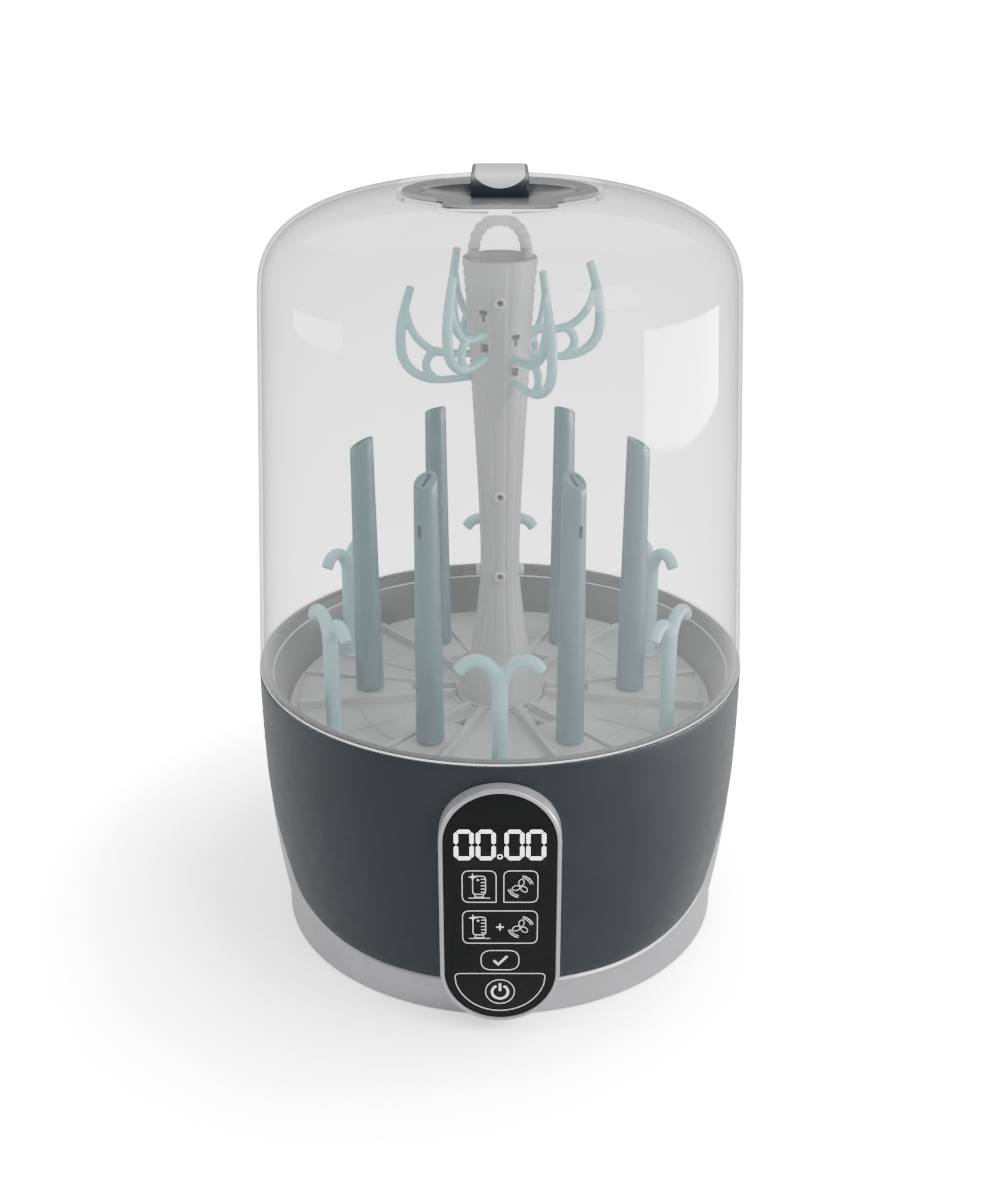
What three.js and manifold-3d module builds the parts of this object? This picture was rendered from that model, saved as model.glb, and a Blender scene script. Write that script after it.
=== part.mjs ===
// Countertop baby-bottle steriliser and dryer: a clear domed lid over a drying rack, on a round base
// that holds the water bowl, the heaters, the fan and the control panel.
// Millimetres, +Z up. The origin is on the base's axis, at the worktop. The control panel faces -Y.
import * as THREE from "three";
import { mergeVertices } from "three/addons/utils/BufferGeometryUtils.js";
import Module from "manifold-3d";

const wasm = await Module();
wasm.setup();

// ---------------------------------------------------------------- driving dimensions
const GAP = 0.3; // clearance left between pieces that touch
const ROUND = 36; // sides of a large round piece

const RIM_R = 134.5; // outer radius of the base at its rim
const RIM_Z = 154.3; // height of the base's rim
const BASE_TAPER = 12.3; // how much the base's curve narrows towards the worktop
const BASE_CURVE = 2.7; // how late that taper sets in
const BASE_FOOT_R = 125; // the base gets no narrower than this
const BASE_LOW = 0.5; // underside of the plinth
const WALL = 2.6; // moulded wall of the base
const TRIM_INSET = 0.6; // how far the silver plinth lies inside the slate surface
const RIM_INNER = 130.3; // inner radius of the rim
const PLINTH_Z = 22.6; // top of the plinth at the front and the back
const WING_Z = 104; // top of the plinth's wing on each side

const DOME_WALL = 2.2;
const SHOULDER_STEPS = 9; // straight steps round the lid's shoulder
const DOME_R = 134; // outer radius of the lid at its lower edge
const DOME_TAPER = 0.051; // radius lost per millimetre of height
const SHOULDER_Z = 356; // height where the lid's shoulder starts
const CROWN_Z = 413; // height of the lid's crown
const CAP_R = 49.6;
const CAP_TAB = { half: 27.2, front: -58, corner: 8 }; // the cap's tab towards the front
const CAP_TOP = 408.4;
const CAP_BASE = 406;
const WELL_Z = 398.5; // underside of the hollow in the cap
const FINGER_WELL = { wide: 40, deep: 23 }; // half sizes of the hollow under the lid's handle
const HANDLE = { width: 28.4, reach: 28, top: 419.7, thick: 4.2 };

const INLAY = { half: 11.9, reach: 26, deep: 1, low: CAP_TOP + 3 }; // the strip let into the handle

const TRAY_R = 119;
const TRAY_Z = [122, 128]; // underside and top of the rack's plate
const PAD_Z = 131.5; // top of the raised pads
const RIB_Z = 133;
const RIB = { start: 26, end: 115, half: 2, spread: 10 }; // spread is its angle from the pad's middle
const PAD = [[52, -7], [112, -15], [114, 0], [112, 15], [52, 7]]; // outline of a pad along +X
const STEAM_HOLE = [[36, 0], [48, -4], [48, 4]];
const HUB = { seat: 25, floor: 125, hole: 15 };
const TUBE = { circle: 73.9, base: 7.9, top: 6.3, tip: 281, bore: 4.6, oval: 0.94 };
const HOOK = { circle: 103, stem: 4.15, arm: 3.5, fork: 185, peak: 197, reach: 21.4 };
const COLUMN_FOOT_Z = 131;
const COLUMN_TOP_Z = 375.2;
const COLUMN_WALL = 3.2;
const SPIGOT = { r: 14.6, low: 118, high: 125.3, bore: 14 };
const RECESS = { r: 17.9, low: 369.5 }; // hollow in the column's top
const NOZZLE_Z = [204, 250, 355];
const SLOT_Z = [331, 348.3]; // slots in the column beside each upper arm
const ARM = { thick: 2.15, step: 12.6, start: 17.4 };
const LOOP_R = 2.8; // thickness of the loop handle's bar

const BOWL_FLOOR = 84;
const PLATE_R = 60; // heating plate
const PANEL = { half: 30.5, low: 8, high: 145, front: -140, face: 28.1 };
const FAN = { x: 0, y: 60, low: 36, high: 72, r: 36, wheel: 28 };
const DUCT = { x: -64, y: 60, r: 11, bore: 9, top: 118 };
const FILTER = { z: 56, r: 21.5, hole: 24.2, flange: 27, plug: 23, grip: 4, reach: 17 };
const ARCH_STEPS = 12;
const FOOT = { circle: 98, r: 9, high: 7.7 };
const SCREW = { circle: 80, head: 3.6, shank: 1.8 };
const FLOOR_PLATE = { r: 117.5, low: 8, high: 10.5 };

// ---------------------------------------------------------------- helpers
const deg = Math.PI / 180;
const v2 = (x, y) => new THREE.Vector2(x, y);
const v3 = (x, y, z) => new THREE.Vector3(x, y, z);

// A closed geometry as a solid that can be cut and joined.
function solid(geometry) {
  const plain = geometry.clone();
  plain.deleteAttribute("normal");
  plain.deleteAttribute("uv");
  const merged = mergeVertices(plain, 1e-3);
  const faces = [];
  const index = merged.index.array;
  for (let i = 0; i < index.length; i += 3) {
    const [a, b, c] = [index[i], index[i + 1], index[i + 2]];
    if (a !== b && b !== c && c !== a) faces.push(a, b, c);
  }
  const vertProperties = merged.attributes.position.array;
  const triVerts = new Uint32Array(faces);
  return new wasm.Manifold(new wasm.Mesh({ numProp: 3, vertProperties, triVerts }));
}

// A solid back as a geometry.
function geometryOf(body) {
  const mesh = body.getMesh();
  const geometry = new THREE.BufferGeometry();
  geometry.setAttribute("position", new THREE.BufferAttribute(mesh.vertProperties, 3));
  geometry.setIndex(new THREE.BufferAttribute(mesh.triVerts, 1));
  geometry.computeVertexNormals();
  return geometry;
}

const join = (first, ...others) => others.reduce((sum, other) => sum.add(other), first);
const cut = (first, ...others) => others.reduce((left, other) => left.subtract(other), first);

// Turns a profile of [radius, height] points about Z. It runs up the outside and starts and ends on
// the axis, or closes on itself when it is a ring.
function revolve(profile, sides = ROUND) {
  const lathe = new THREE.LatheGeometry(profile.map(([r, z]) => v2(r, z)), sides);
  return solid(lathe.rotateX(Math.PI / 2));
}
const ring = (profile, sides) => revolve([...profile, profile[0]], sides);

function cylinder(r, low, high, sides = 24, x = 0, y = 0) {
  const body = new THREE.CylinderGeometry(r, r, high - low, sides).rotateX(Math.PI / 2);
  return solid(body.translate(x, y, (low + high) / 2));
}

function cylinderY(r, near, far, z, sides = 24, x = 0) {
  const body = new THREE.CylinderGeometry(r, r, far - near, sides);
  return solid(body.translate(x, (near + far) / 2, z));
}

function box([x0, x1], [y0, y1], [z0, z1]) {
  const body = new THREE.BoxGeometry(x1 - x0, y1 - y0, z1 - z0);
  return solid(body.translate((x0 + x1) / 2, (y0 + y1) / 2, (z0 + z1) / 2));
}

const prism = (shape, depth, curveSegments) =>
  new THREE.ExtrudeGeometry(shape, { depth, bevelEnabled: false, curveSegments });

// A shape drawn in X and Y, raised from one height to another.
const slab = (shape, low, high, curve = 6) =>
  solid(prism(shape, high - low, curve).translate(0, 0, low));
// A shape drawn in X and Z, run from one Y to another.
const slabY = (shape, near, far, curve = 10) =>
  solid(prism(shape, far - near, curve).rotateX(Math.PI / 2).translate(0, far, 0));
// A shape drawn in Y and Z, run from one X to another.
const slabX = (shape, left, right, curve = 6) =>
  solid(
    prism(shape, right - left, curve)
      .rotateX(Math.PI / 2)
      .rotateZ(Math.PI / 2)
      .translate(left, 0, 0),
  );

// A round bar along a smooth curve through a few points.
function bar(points, r, steps, sides = 7) {
  const corner = (i) => v2(r * Math.cos((i / sides) * 2 * Math.PI), r * Math.sin((i / sides) * 2 * Math.PI));
  const section = new THREE.Shape(Array.from({ length: sides }, (_, i) => corner(i)));
  const extrudePath = new THREE.CatmullRomCurve3(points);
  return solid(new THREE.ExtrudeGeometry(section, { steps, extrudePath, bevelEnabled: false }));
}

// A straight-sided upright outline with half-round ends, drawn in X and Z.
function stadium(half, low, high) {
  const shape = new THREE.Shape();
  shape.absarc(0, high - half, half, 0, Math.PI);
  shape.absarc(0, low + half, half, Math.PI, 2 * Math.PI);
  shape.closePath();
  return shape;
}

// The base's outer surface: its radius at a height.
const baseR = (z) =>
  Math.max(BASE_FOOT_R, RIM_R - BASE_TAPER * (1 - Math.min(z, RIM_Z) / RIM_Z) ** BASE_CURVE);
const heights = (low, high, count) =>
  Array.from({ length: count + 1 }, (_, i) => low + ((high - low) * i) / count);
const baseLine = (low, high, count, inset) =>
  heights(low, high, count).map((z) => [baseR(z) - inset, z]);

const turned = (body, angle) => body.rotate([0, 0, angle]);

// ---------------------------------------------------------------- colours
const paint = (color, roughness, metalness = 0) =>
  new THREE.MeshStandardMaterial({ color, roughness, metalness });
const slate = () => paint(0x3f474c, 0.35);
const silver = () => paint(0xbcbebf, 0.3, 0.6);
const paleGrey = () => paint(0xb6b7b7, 0.5);
const mint = () => paint(0x9cc3c1, 0.45);
const teal = () => paint(0x70929a, 0.45);
const black = () => paint(0x1c1c1d, 0.2);
const darkGrey = () => paint(0x5c5e61, 0.5);
const steel = () => paint(0xc4c6c8, 0.25, 1);
const rubber = () => paint(0x2a2a2b, 0.9);
const board = () => paint(0x2d5a3a, 0.6);
const clear = () =>
  new THREE.MeshStandardMaterial({ color: 0xe6e9ea, roughness: 0.08, transparent: true, opacity: 0.3 });

const sterilizer = new THREE.Group();
function piece(name, body, material) {
  const mesh = new THREE.Mesh(geometryOf(body), material);
  mesh.name = name;
  sterilizer.add(mesh);
}

// ---------------------------------------------------------------- base casing
// The line where the slate shell meets the silver plinth, seen from the side: level at the front and
// the back, and rising to a wing in the middle. It is shifted by half of the gap either way.
function plinthEdge(shift) {
  const half = [
    [134, PLINTH_Z],
    [108, PLINTH_Z],
    [84, 28],
    [66, 37],
    [57, 52],
    [46, 69],
    [26, 92],
    [0, WING_Z],
  ];
  const front = half.map(([y, z]) => v2(-y, z));
  const back = half.slice(0, -1).map(([y, z]) => v2(y, z));
  const line = [...front, ...back.reverse()];
  const points = new THREE.SplineCurve(line).getPoints(20);
  return points.map((p) => v2(p.x, p.y + shift));
}
const aboveEdge = new THREE.Shape([...plinthEdge(GAP / 2 + 0.1), v2(150, 170), v2(-150, 170)]);
const belowEdge = new THREE.Shape([v2(-150, -5), v2(150, -5), ...plinthEdge(-GAP / 2).reverse()]);
const aboveCut = slabX(aboveEdge, -150, 150);
const belowCut = slabX(belowEdge, -150, 150);

const filterHole = cylinderY(FILTER.hole, 100, 150, FILTER.z);
const inletX = [-64, -42];
const inletZ = [32, 50];
const inletHole = box([inletX[0] - GAP, inletX[1] + GAP], [95, 135], [inletZ[0] - GAP, inletZ[1] + GAP]);

function baseShell() {
  const outside = baseLine(18, RIM_Z, 5, 0);
  const inside = baseLine(18, RIM_Z - 4, 4, WALL).reverse();
  const wall = ring([...outside, [RIM_INNER, RIM_Z], [RIM_INNER, RIM_Z - 3], ...inside]);
  return cut(wall.intersect(aboveCut), filterHole, inletHole);
}

function plinth() {
  const outside = baseLine(BASE_LOW, WING_Z + 3, 6, TRIM_INSET);
  const inside = baseLine(BASE_LOW, WING_Z + 3, 5, TRIM_INSET + WALL).reverse();
  return ring([...outside, ...inside]).intersect(belowCut);
}

// The bowl is hung inside the rim. The rack's plate rests on the ledge in its wall.
function bowl() {
  const outside = [
    [0, BOWL_FLOOR],
    [101, BOWL_FLOOR],
    [110.5, 93],
    [117, 119.5],
    [121.9, 120.5],
    [130, RIM_Z - 3.5],
    [130, RIM_Z],
  ];
  const inside = [
    [127.6, RIM_Z],
    [127.4, RIM_Z - 3],
    [119.8, TRAY_Z[0] + 1],
    [119.6, TRAY_Z[0] - GAP],
    [114.8, TRAY_Z[0] - GAP],
    [108.2, 94.5],
    [100, BOWL_FLOOR + 2.5],
    [0, BOWL_FLOOR + 2.5],
  ];
  const ductHole = cylinder(DUCT.r + GAP, BOWL_FLOOR - 2, BOWL_FLOOR + 12, 20, DUCT.x, DUCT.y);
  return cut(revolve([...outside, ...inside]), ductHole);
}

piece("base_shell", baseShell(), slate());
piece("plinth", plinth(), silver());
piece("water_bowl", bowl(), slate());
piece(
  "rim_gasket",
  ring([[131.2, RIM_Z + GAP], [131.2, 155.8], [130.4, 156.4], [128.8, 155.8], [128.8, RIM_Z + GAP]]),
  paint(0xd8dadb, 0.6),
);

// ---------------------------------------------------------------- underside
const around = (count, start, make) => {
  for (let i = 0; i < count; i += 1) make(i, start + (i * 360) / count);
};
const polar = (r, angle) => [r * Math.cos(angle * deg), r * Math.sin(angle * deg)];

function bottomCover() {
  const { r, low, high } = FLOOR_PLATE;
  let cover = revolve([[0, low], [r, low], [r, high], [0, high]]);
  around(4, 0, (i, angle) => {
    const [x, y] = polar(SCREW.circle, angle);
    cover = cover.subtract(cylinder(SCREW.shank + GAP, low - 3, high + 3, 12, x, y));
  });
  for (const x of [-24, -12, 0, 12, 24]) {
    cover = cover.subtract(box([x - 2.5, x + 2.5], [-50, -20], [low - 3, high + 3]));
  }
  return cover;
}
piece("bottom_cover", bottomCover(), rubber());

around(4, 45, (i, angle) => {
  const [x, y] = polar(FOOT.circle, angle);
  const profile = [[0, 0], [FOOT.r - 1.2, 0], [FOOT.r, 1.5], [FOOT.r, FOOT.high], [0, FOOT.high]];
  piece(`foot_${i + 1}`, revolve(profile, 16).translate([x, y, 0]), rubber());
});

around(4, 0, (i, angle) => {
  const [x, y] = polar(SCREW.circle, angle);
  const profile = [
    [0, 5.4],
    [SCREW.head - 0.6, 5.4],
    [SCREW.head, 6.2],
    [SCREW.head, FOOT.high],
    [SCREW.shank, FOOT.high],
    [SCREW.shank, 19],
    [0, 20],
  ];
  const slot = box([-0.5, 0.5], [-2.4, 2.4], [5, 6.4]);
  const screw = cut(revolve(profile, 12), slot);
  piece(`cover_screw_${i + 1}`, screw.translate([x, y, 0]), steel());
});

// ---------------------------------------------------------------- control panel
const casing = revolve([[0, -5], ...baseLine(-5, RIM_Z, 12, -GAP), [0, RIM_Z]]);
const bezelLip = 2.1;
const bezel = cut(
  slabY(stadium(PANEL.half, PANEL.low, PANEL.high), PANEL.front, -112),
  slabY(stadium(PANEL.half - bezelLip, PANEL.low + bezelLip, PANEL.high - bezelLip), PANEL.front - 1, -100),
  casing,
);
piece("panel_bezel", bezel, silver());

const faceLow = PANEL.low + PANEL.half - PANEL.face;
const faceHigh = PANEL.high - PANEL.half + PANEL.face;
const faceY = PANEL.front + 0.5;
const displayX = [-24.5, 24.5];
const displayZ = [101, 125];
const displayPocket = box(
  [displayX[0] - GAP, displayX[1] + GAP],
  [faceY - 1, faceY + 1.3],
  [displayZ[0] - GAP, displayZ[1] + GAP],
);
const facePlate = slabY(stadium(PANEL.face, faceLow, faceHigh), faceY, faceY + 2.2);
piece("touch_panel", cut(facePlate, displayPocket), black());
piece("display_window", box(displayX, [faceY, faceY + 1], displayZ), black());
const boardShape = stadium(PANEL.face - 3, faceLow + 3, faceHigh - 3);
piece("control_board", slabY(boardShape, faceY + 2.5, faceY + 3.9, 6), board());

// ---------------------------------------------------------------- water heater
piece(
  "heating_plate",
  revolve([[0, 86.8], [PLATE_R, 86.8], [PLATE_R, 87.6], [PLATE_R - 3, 88.4], [0, 88.4]], 36),
  steel(),
);
const element = new THREE.TorusGeometry(42, 4, 6, 24).translate(0, 0, BOWL_FLOOR - 4 - GAP);
piece("heater_element", solid(element), steel());
piece("thermostat", cylinder(8, 73, BOWL_FLOOR - GAP, 16), paint(0xcfcac0, 0.6));

// ---------------------------------------------------------------- fan and air path
function fanHousing() {
  const outer = join(
    cylinder(FAN.r, FAN.low, FAN.high, 32, FAN.x, FAN.y),
    box([-78, -20], [48, 72], [FAN.low, FAN.high]),
  );
  const inner = join(
    cylinder(FAN.r - 2, FAN.low + 2, FAN.high - 2, 32, FAN.x, FAN.y),
    box([-76, -20], [50, 70], [FAN.low + 2, FAN.high - 2]),
  );
  return cut(
    outer,
    inner,
    cylinder(3, FAN.low - 2, FAN.low + 4, 12, FAN.x, FAN.y),
    cylinder(DUCT.bore, FAN.high - 4, FAN.high + 2, 20, DUCT.x, DUCT.y),
    cylinderY(13, FAN.y + FAN.r - 8, FAN.y + FAN.r + 2, FILTER.z, 20),
  );
}
piece("fan_housing", fanHousing(), darkGrey());

function fanMotor() {
  const can = cylinder(15, 14, FAN.low - GAP, 20, FAN.x, FAN.y);
  return join(can, cylinder(2, FAN.low - 2, 52, 12, FAN.x, FAN.y));
}
piece("fan_motor", fanMotor(), steel());

function impeller() {
  const low = FAN.low + 6;
  const high = FAN.high - 6;
  let wheel = join(
    cylinder(FAN.wheel, low, low + 2, 32),
    revolve([[0, low], [9, low], [8, 60], [5, high - 4], [0, high - 3]], 16),
  );
  const blade = box([6, FAN.wheel - 0.5], [-0.7, 0.7], [low + 1, high - 4]);
  around(8, 0, (i, angle) => {
    wheel = wheel.add(turned(blade, angle));
  });
  return cut(wheel, cylinder(2.05, low - 2, 52.5, 12)).translate([FAN.x, FAN.y, 0]);
}
piece("fan_impeller", impeller(), paint(0x3b3d40, 0.5));

function airHeater() {
  let block = box([-52, -41], [50.3, 69.7], [FAN.low + 2.3, FAN.high - 2.3]);
  for (const y of [54, 58, 62, 66]) {
    block = block.subtract(box([-60, -30], [y - 1.2, y + 1.2], [41, 67]));
  }
  return block;
}
piece("air_heater", airHeater(), paint(0xa9a39a, 0.6, 0.4));

const pipe = (r, bore, low, high) => [[r, low], [r, high], [bore, high], [bore, low]];
piece(
  "air_duct",
  ring(pipe(DUCT.r, DUCT.bore, FAN.high + GAP, DUCT.top), 20).translate([DUCT.x, DUCT.y, 0]),
  darkGrey(),
);
const intake = cut(
  cylinderY(23.8, FAN.y + FAN.r + 0.8, 125, FILTER.z),
  cylinderY(22, 90, 130, FILTER.z),
);
piece("intake_duct", intake, darkGrey());

// The filter comes out backwards, together with its cover.
piece("air_filter", cylinderY(FILTER.r, 112, 124.5, FILTER.z), paint(0xe8e8e4, 0.95));
function filterCover() {
  const { z: middle, grip, reach } = FILTER;
  let cover = join(
    cylinderY(FILTER.flange, 133.7, 136, middle),
    cylinderY(FILTER.plug, 125.5, 134, middle),
    box([-grip, grip], [133, 140], [middle - reach, middle + reach]),
  );
  for (const z of [-12, -4, 4, 12]) {
    for (const side of [-1, 1]) {
      const width = [side * 6, side * 18].sort((a, b) => a - b);
      cover = cover.subtract(box(width, [120, 140], [middle + z - 2, middle + z + 2]));
    }
  }
  return cover;
}
piece("filter_cover", filterCover(), slate());

// ---------------------------------------------------------------- power
const socket = cut(
  box(inletX, [100, 119], inletZ),
  box([inletX[0] + 3, inletX[1] - 3], [106, 120], [inletZ[0] + 4, inletZ[1] - 4]),
);
const inletPin = (x) => cylinderY(1.2, 105, 115, 41, 8, x);
piece("power_inlet", join(socket, inletPin(-57), inletPin(-49)), rubber());
const powerBoard = join(
  box([16, 72], [-80, -12], [16, 17.8]),
  box([24, 50], [-72, -48], [17, 44]),
  cylinder(7, 17, 42, 14, 60, -60),
  box([24, 44], [-38, -18], [17, 34]),
);
piece("power_board", powerBoard, board());

// ---------------------------------------------------------------- drying rack
// A plate with six radial pads, each between two ribs, and a steam hole near the hub in each pad.
function radialBar(low, high, half, bottom, top) {
  const shape = new THREE.Shape();
  shape.absarc(high - half, 0, half, -Math.PI / 2, Math.PI / 2);
  shape.absarc(low + half, 0, half, Math.PI / 2, 1.5 * Math.PI);
  shape.closePath();
  return slab(shape, bottom, top, 2);
}

function rackTray() {
  let tray = revolve([
    [0, TRAY_Z[0]],
    [TRAY_R - 1, TRAY_Z[0]],
    [TRAY_R, TRAY_Z[0] + 1],
    [TRAY_R, TRAY_Z[1] - 1],
    [TRAY_R - 1, TRAY_Z[1]],
    [0, TRAY_Z[1]],
  ]);
  const drawn = (outline) => new THREE.Shape(outline.map(([x, y]) => v2(x, y)));
  const rib = radialBar(RIB.start, RIB.end, RIB.half, TRAY_Z[1] - 1, RIB_Z);
  const pad = slab(drawn(PAD), TRAY_Z[1] - 1, PAD_Z);
  const steamHole = slab(drawn(STEAM_HOLE), TRAY_Z[0] - 1, RIB_Z);
  around(6, 0, (i, angle) => {
    tray = join(tray, turned(pad, angle), turned(rib, angle - RIB.spread), turned(rib, angle + RIB.spread));
    tray = tray.subtract(turned(steamHole, angle));
  });
  return cut(tray, cylinder(HUB.seat, HUB.floor, 140, 24), cylinder(HUB.hole, 115, 140, 24));
}
piece("rack_tray", rackTray(), paleGrey());

// A drying tube is oval, tapers upwards and is cut off at a slant, with a slot in the slanted end and
// another facing outwards near the top.
function dryingTube() {
  const low = PAD_Z + GAP;
  const tall = TUBE.tip + 4 - low;
  const barrel = new THREE.CylinderGeometry(TUBE.top, TUBE.base, tall, 16);
  const bore = new THREE.CylinderGeometry(TUBE.bore, TUBE.bore, tall - 14, 12);
  const up = (geometry, middle) =>
    solid(geometry.rotateX(Math.PI / 2).scale(1, TUBE.oval, 1).translate(0, 0, middle));
  const slant = [v2(-20, TUBE.tip + 6.4), v2(20, TUBE.tip - 14.4)];
  const topCut = new THREE.Shape([...slant, v2(20, 300), v2(-20, 300)]);
  const tube = cut(
    up(barrel, low + tall / 2),
    up(bore, low - 1 + (tall - 14) / 2),
    slabY(topCut, -20, 20),
    box([-4.4, 3.6], [-1.1, 1.1], [TUBE.tip - 16, 300]),
    box([3, 12], [-1.2, 1.2], [TUBE.tip - 33, TUBE.tip - 26]),
  );
  return tube.translate([TUBE.circle, 0, 0]);
}
around(6, 0, (i, angle) => piece(`drying_tube_${i + 1}`, turned(dryingTube(), angle), teal()));

// A hook is an upright stem that forks into two arms, each curling out and down.
function bottleHook() {
  const low = TRAY_Z[1] + GAP;
  const stem = bar([v3(0, 0, low), v3(0, 0, 160), v3(0, 0, HOOK.fork + 3)], HOOK.stem, 1, 8);
  const curl = (side) =>
    bar(
      [
        v3(0, 0, HOOK.fork - 4),
        v3(0, side * 2.3, HOOK.fork + 4),
        v3(0, side * 6.5, HOOK.peak - 1.8),
        v3(0, side * 12, HOOK.peak),
        v3(0, side * 17.4, HOOK.peak - 1.7),
        v3(0, side * HOOK.reach, HOOK.peak - 6.2),
      ],
      HOOK.arm,
      7,
    );
  return join(stem, curl(1), curl(-1)).translate([HOOK.circle, 0, 0]);
}
around(6, 30, (i, angle) => piece(`bottle_hook_${i + 1}`, turned(bottleHook(), angle), mint()));

// ---------------------------------------------------------------- column
const columnLine = new THREE.SplineCurve(
  [
    [24.4, COLUMN_FOOT_Z],
    [17.5, 151.7],
    [12.2, 185.5],
    [10.8, 209.4],
    [11.6, 244],
    [14.5, 300],
    [17.5, 353],
    [19.4, COLUMN_TOP_Z],
  ].map(([r, z]) => v2(r, z)),
);

function column() {
  const outline = columnLine.getPoints(11).map((p) => [p.x, p.y]);
  const inner = outline.filter((_, i) => i % 2 === 1).map(([r, z]) => [r - COLUMN_WALL, z]);
  const [, boreTop] = inner[inner.length - 1];
  const bore = revolve([[0, 110], [SPIGOT.bore, 110], ...inner, [0, boreTop]], 20);
  const foot = [[0, SPIGOT.low], [SPIGOT.r, SPIGOT.low], [SPIGOT.r, SPIGOT.high]];
  const flange = [columnLine.points[0].x, SPIGOT.high];
  const body = revolve([...foot, flange, ...outline, [0, COLUMN_TOP_Z]], 20);
  let post = cut(body, bore, cylinder(RECESS.r, RECESS.low, 380, 20));
  const nearest = (z) => (best, p) => (Math.abs(p.y - z) < Math.abs(best.y - z) ? p : best);
  for (const z of NOZZLE_Z) {
    around(4, 0, (i, angle) => {
      const reach = columnLine.points.reduce(nearest(z)).x;
      const boss = cylinderY(2.7, reach - 2.4, reach + 1.6, z, 8);
      const hole = cylinderY(1.3, reach - 6, reach + 4, z, 6);
      post = post.add(turned(boss, angle)).subtract(turned(hole, angle));
    });
  }
  around(6, 0, (i, angle) => {
    const lift = i % 2 === 0 ? 0 : -ARM.step;
    for (const z of SLOT_Z) {
      post = post.subtract(turned(box([10, 22], [-2, 2], [z + lift - 2, z + lift + 2]), angle));
    }
  });
  return post;
}
piece("rack_column", column(), paleGrey());

// Each upper arm lies in a plane through the axis: a lower prong that runs out and sweeps up to a tip,
// an upper prong that curves up to meet it, and a strut between the two.
function rackArm(lift) {
  const line = (points) => points.map(([r, z]) => v3(r, 0, z + lift));
  const sweep = [
    [ARM.start, 325],
    [30, 323.6],
    [39, 324.6],
    [46.6, 329],
    [50.8, 336],
    [51.6, 346],
    [50.4, 357],
    [46, 372.6],
  ];
  const prong = [
    [ARM.start, 337.6],
    [27, 337.8],
    [34, 339.4],
    [41, 344.6],
    [45.5, 351.6],
    [49.4, 361],
  ];
  const strut = [
    [33.5, 339.2],
    [38, 336],
    [38.6, 331],
    [35, 324.2],
  ];
  return join(
    bar(line(sweep), ARM.thick, 10, 6),
    bar(line(prong), ARM.thick - 0.1, 6, 6),
    bar(line(strut), ARM.thick - 0.2, 4, 6),
  );
}
around(6, 0, (i, angle) => {
  const lift = i % 2 === 0 ? 0 : -ARM.step;
  piece(`rack_arm_${i + 1}`, turned(rackArm(lift), angle), mint());
});

const loopSide = [[13.8, 369.8], [13.6, 380], [10.8, 388.5], [5.6, 393], [0, 393.9]];
const loopLine = [
  ...loopSide.map(([x, z]) => v3(-x, 0, z)),
  ...loopSide.slice(0, -1).reverse().map(([x, z]) => v3(x, 0, z)),
];
piece("rack_loop_handle", bar(loopLine, LOOP_R, 24), paleGrey());

// ---------------------------------------------------------------- lid
// The lid's surface: a slightly tapered wall and a full rounded shoulder under a flat crown.
function domeLine(inset) {
  const low = RIM_Z + GAP;
  const wallR = (z) => DOME_R - DOME_TAPER * (z - low) - inset;
  const wall = heights(low, SHOULDER_Z, 2).map((z) => [wallR(z), z]);
  const rise = CROWN_Z - inset - SHOULDER_Z;
  const shoulder = heights(0, 90, SHOULDER_STEPS).map((angle) => {
    const z = SHOULDER_Z + rise * Math.sin(angle * deg) ** 0.66;
    return [angle === 90 ? 0 : wallR(z) * Math.cos(angle * deg) ** 0.83, z];
  });
  return [...wall, ...shoulder.slice(1)];
}

// The cap's outline: a circle with a wide tab towards the front.
function capOutline(grow) {
  const r = CAP_R + grow;
  const half = CAP_TAB.half + grow;
  const front = CAP_TAB.front - grow;
  const corner = CAP_TAB.corner;
  const start = Math.atan2(-Math.sqrt(r * r - half * half), half);
  const shape = new THREE.Shape();
  shape.absarc(0, 0, r, start, Math.PI - start);
  shape.lineTo(-half, front + corner);
  shape.quadraticCurveTo(-half, front, -half + corner, front);
  shape.lineTo(half - corner, front);
  shape.quadraticCurveTo(half, front, half, front + corner);
  shape.closePath();
  return shape;
}

function dome() {
  const shell = ring([...domeLine(0), ...domeLine(DOME_WALL).reverse()]);
  const collar = slab(capOutline(2.6), CAP_BASE - 2, CAP_TOP + 1.2, 7);
  return cut(join(shell, collar), slab(capOutline(GAP + 0.1), 390, 430, 7));
}
piece("dome", dome(), clear());

// The cap is a flat rim around an oval hollow that fingers reach into.
function capDish() {
  const { wide, deep } = FINGER_WELL;
  const oval = (body) => body.scale([1, deep / wide, 1]);
  const plate = cut(slab(capOutline(0), CAP_BASE, CAP_TOP, 7), oval(cylinder(wide, 400, 415, 28)));
  const low = WELL_Z;
  const well = ring(
    [
      [0, low],
      [wide - 14, low],
      [wide + 1.8, CAP_BASE - 1],
      [wide + 1.8, CAP_TOP - 0.5],
      [wide - 0.4, CAP_TOP - 0.5],
      [wide - 0.4, CAP_BASE],
      [wide - 15, low + 2],
      [0, low + 2],
    ],
    28,
  );
  return join(plate, oval(well));
}
piece("cap_dish", capDish(), darkGrey());

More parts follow.
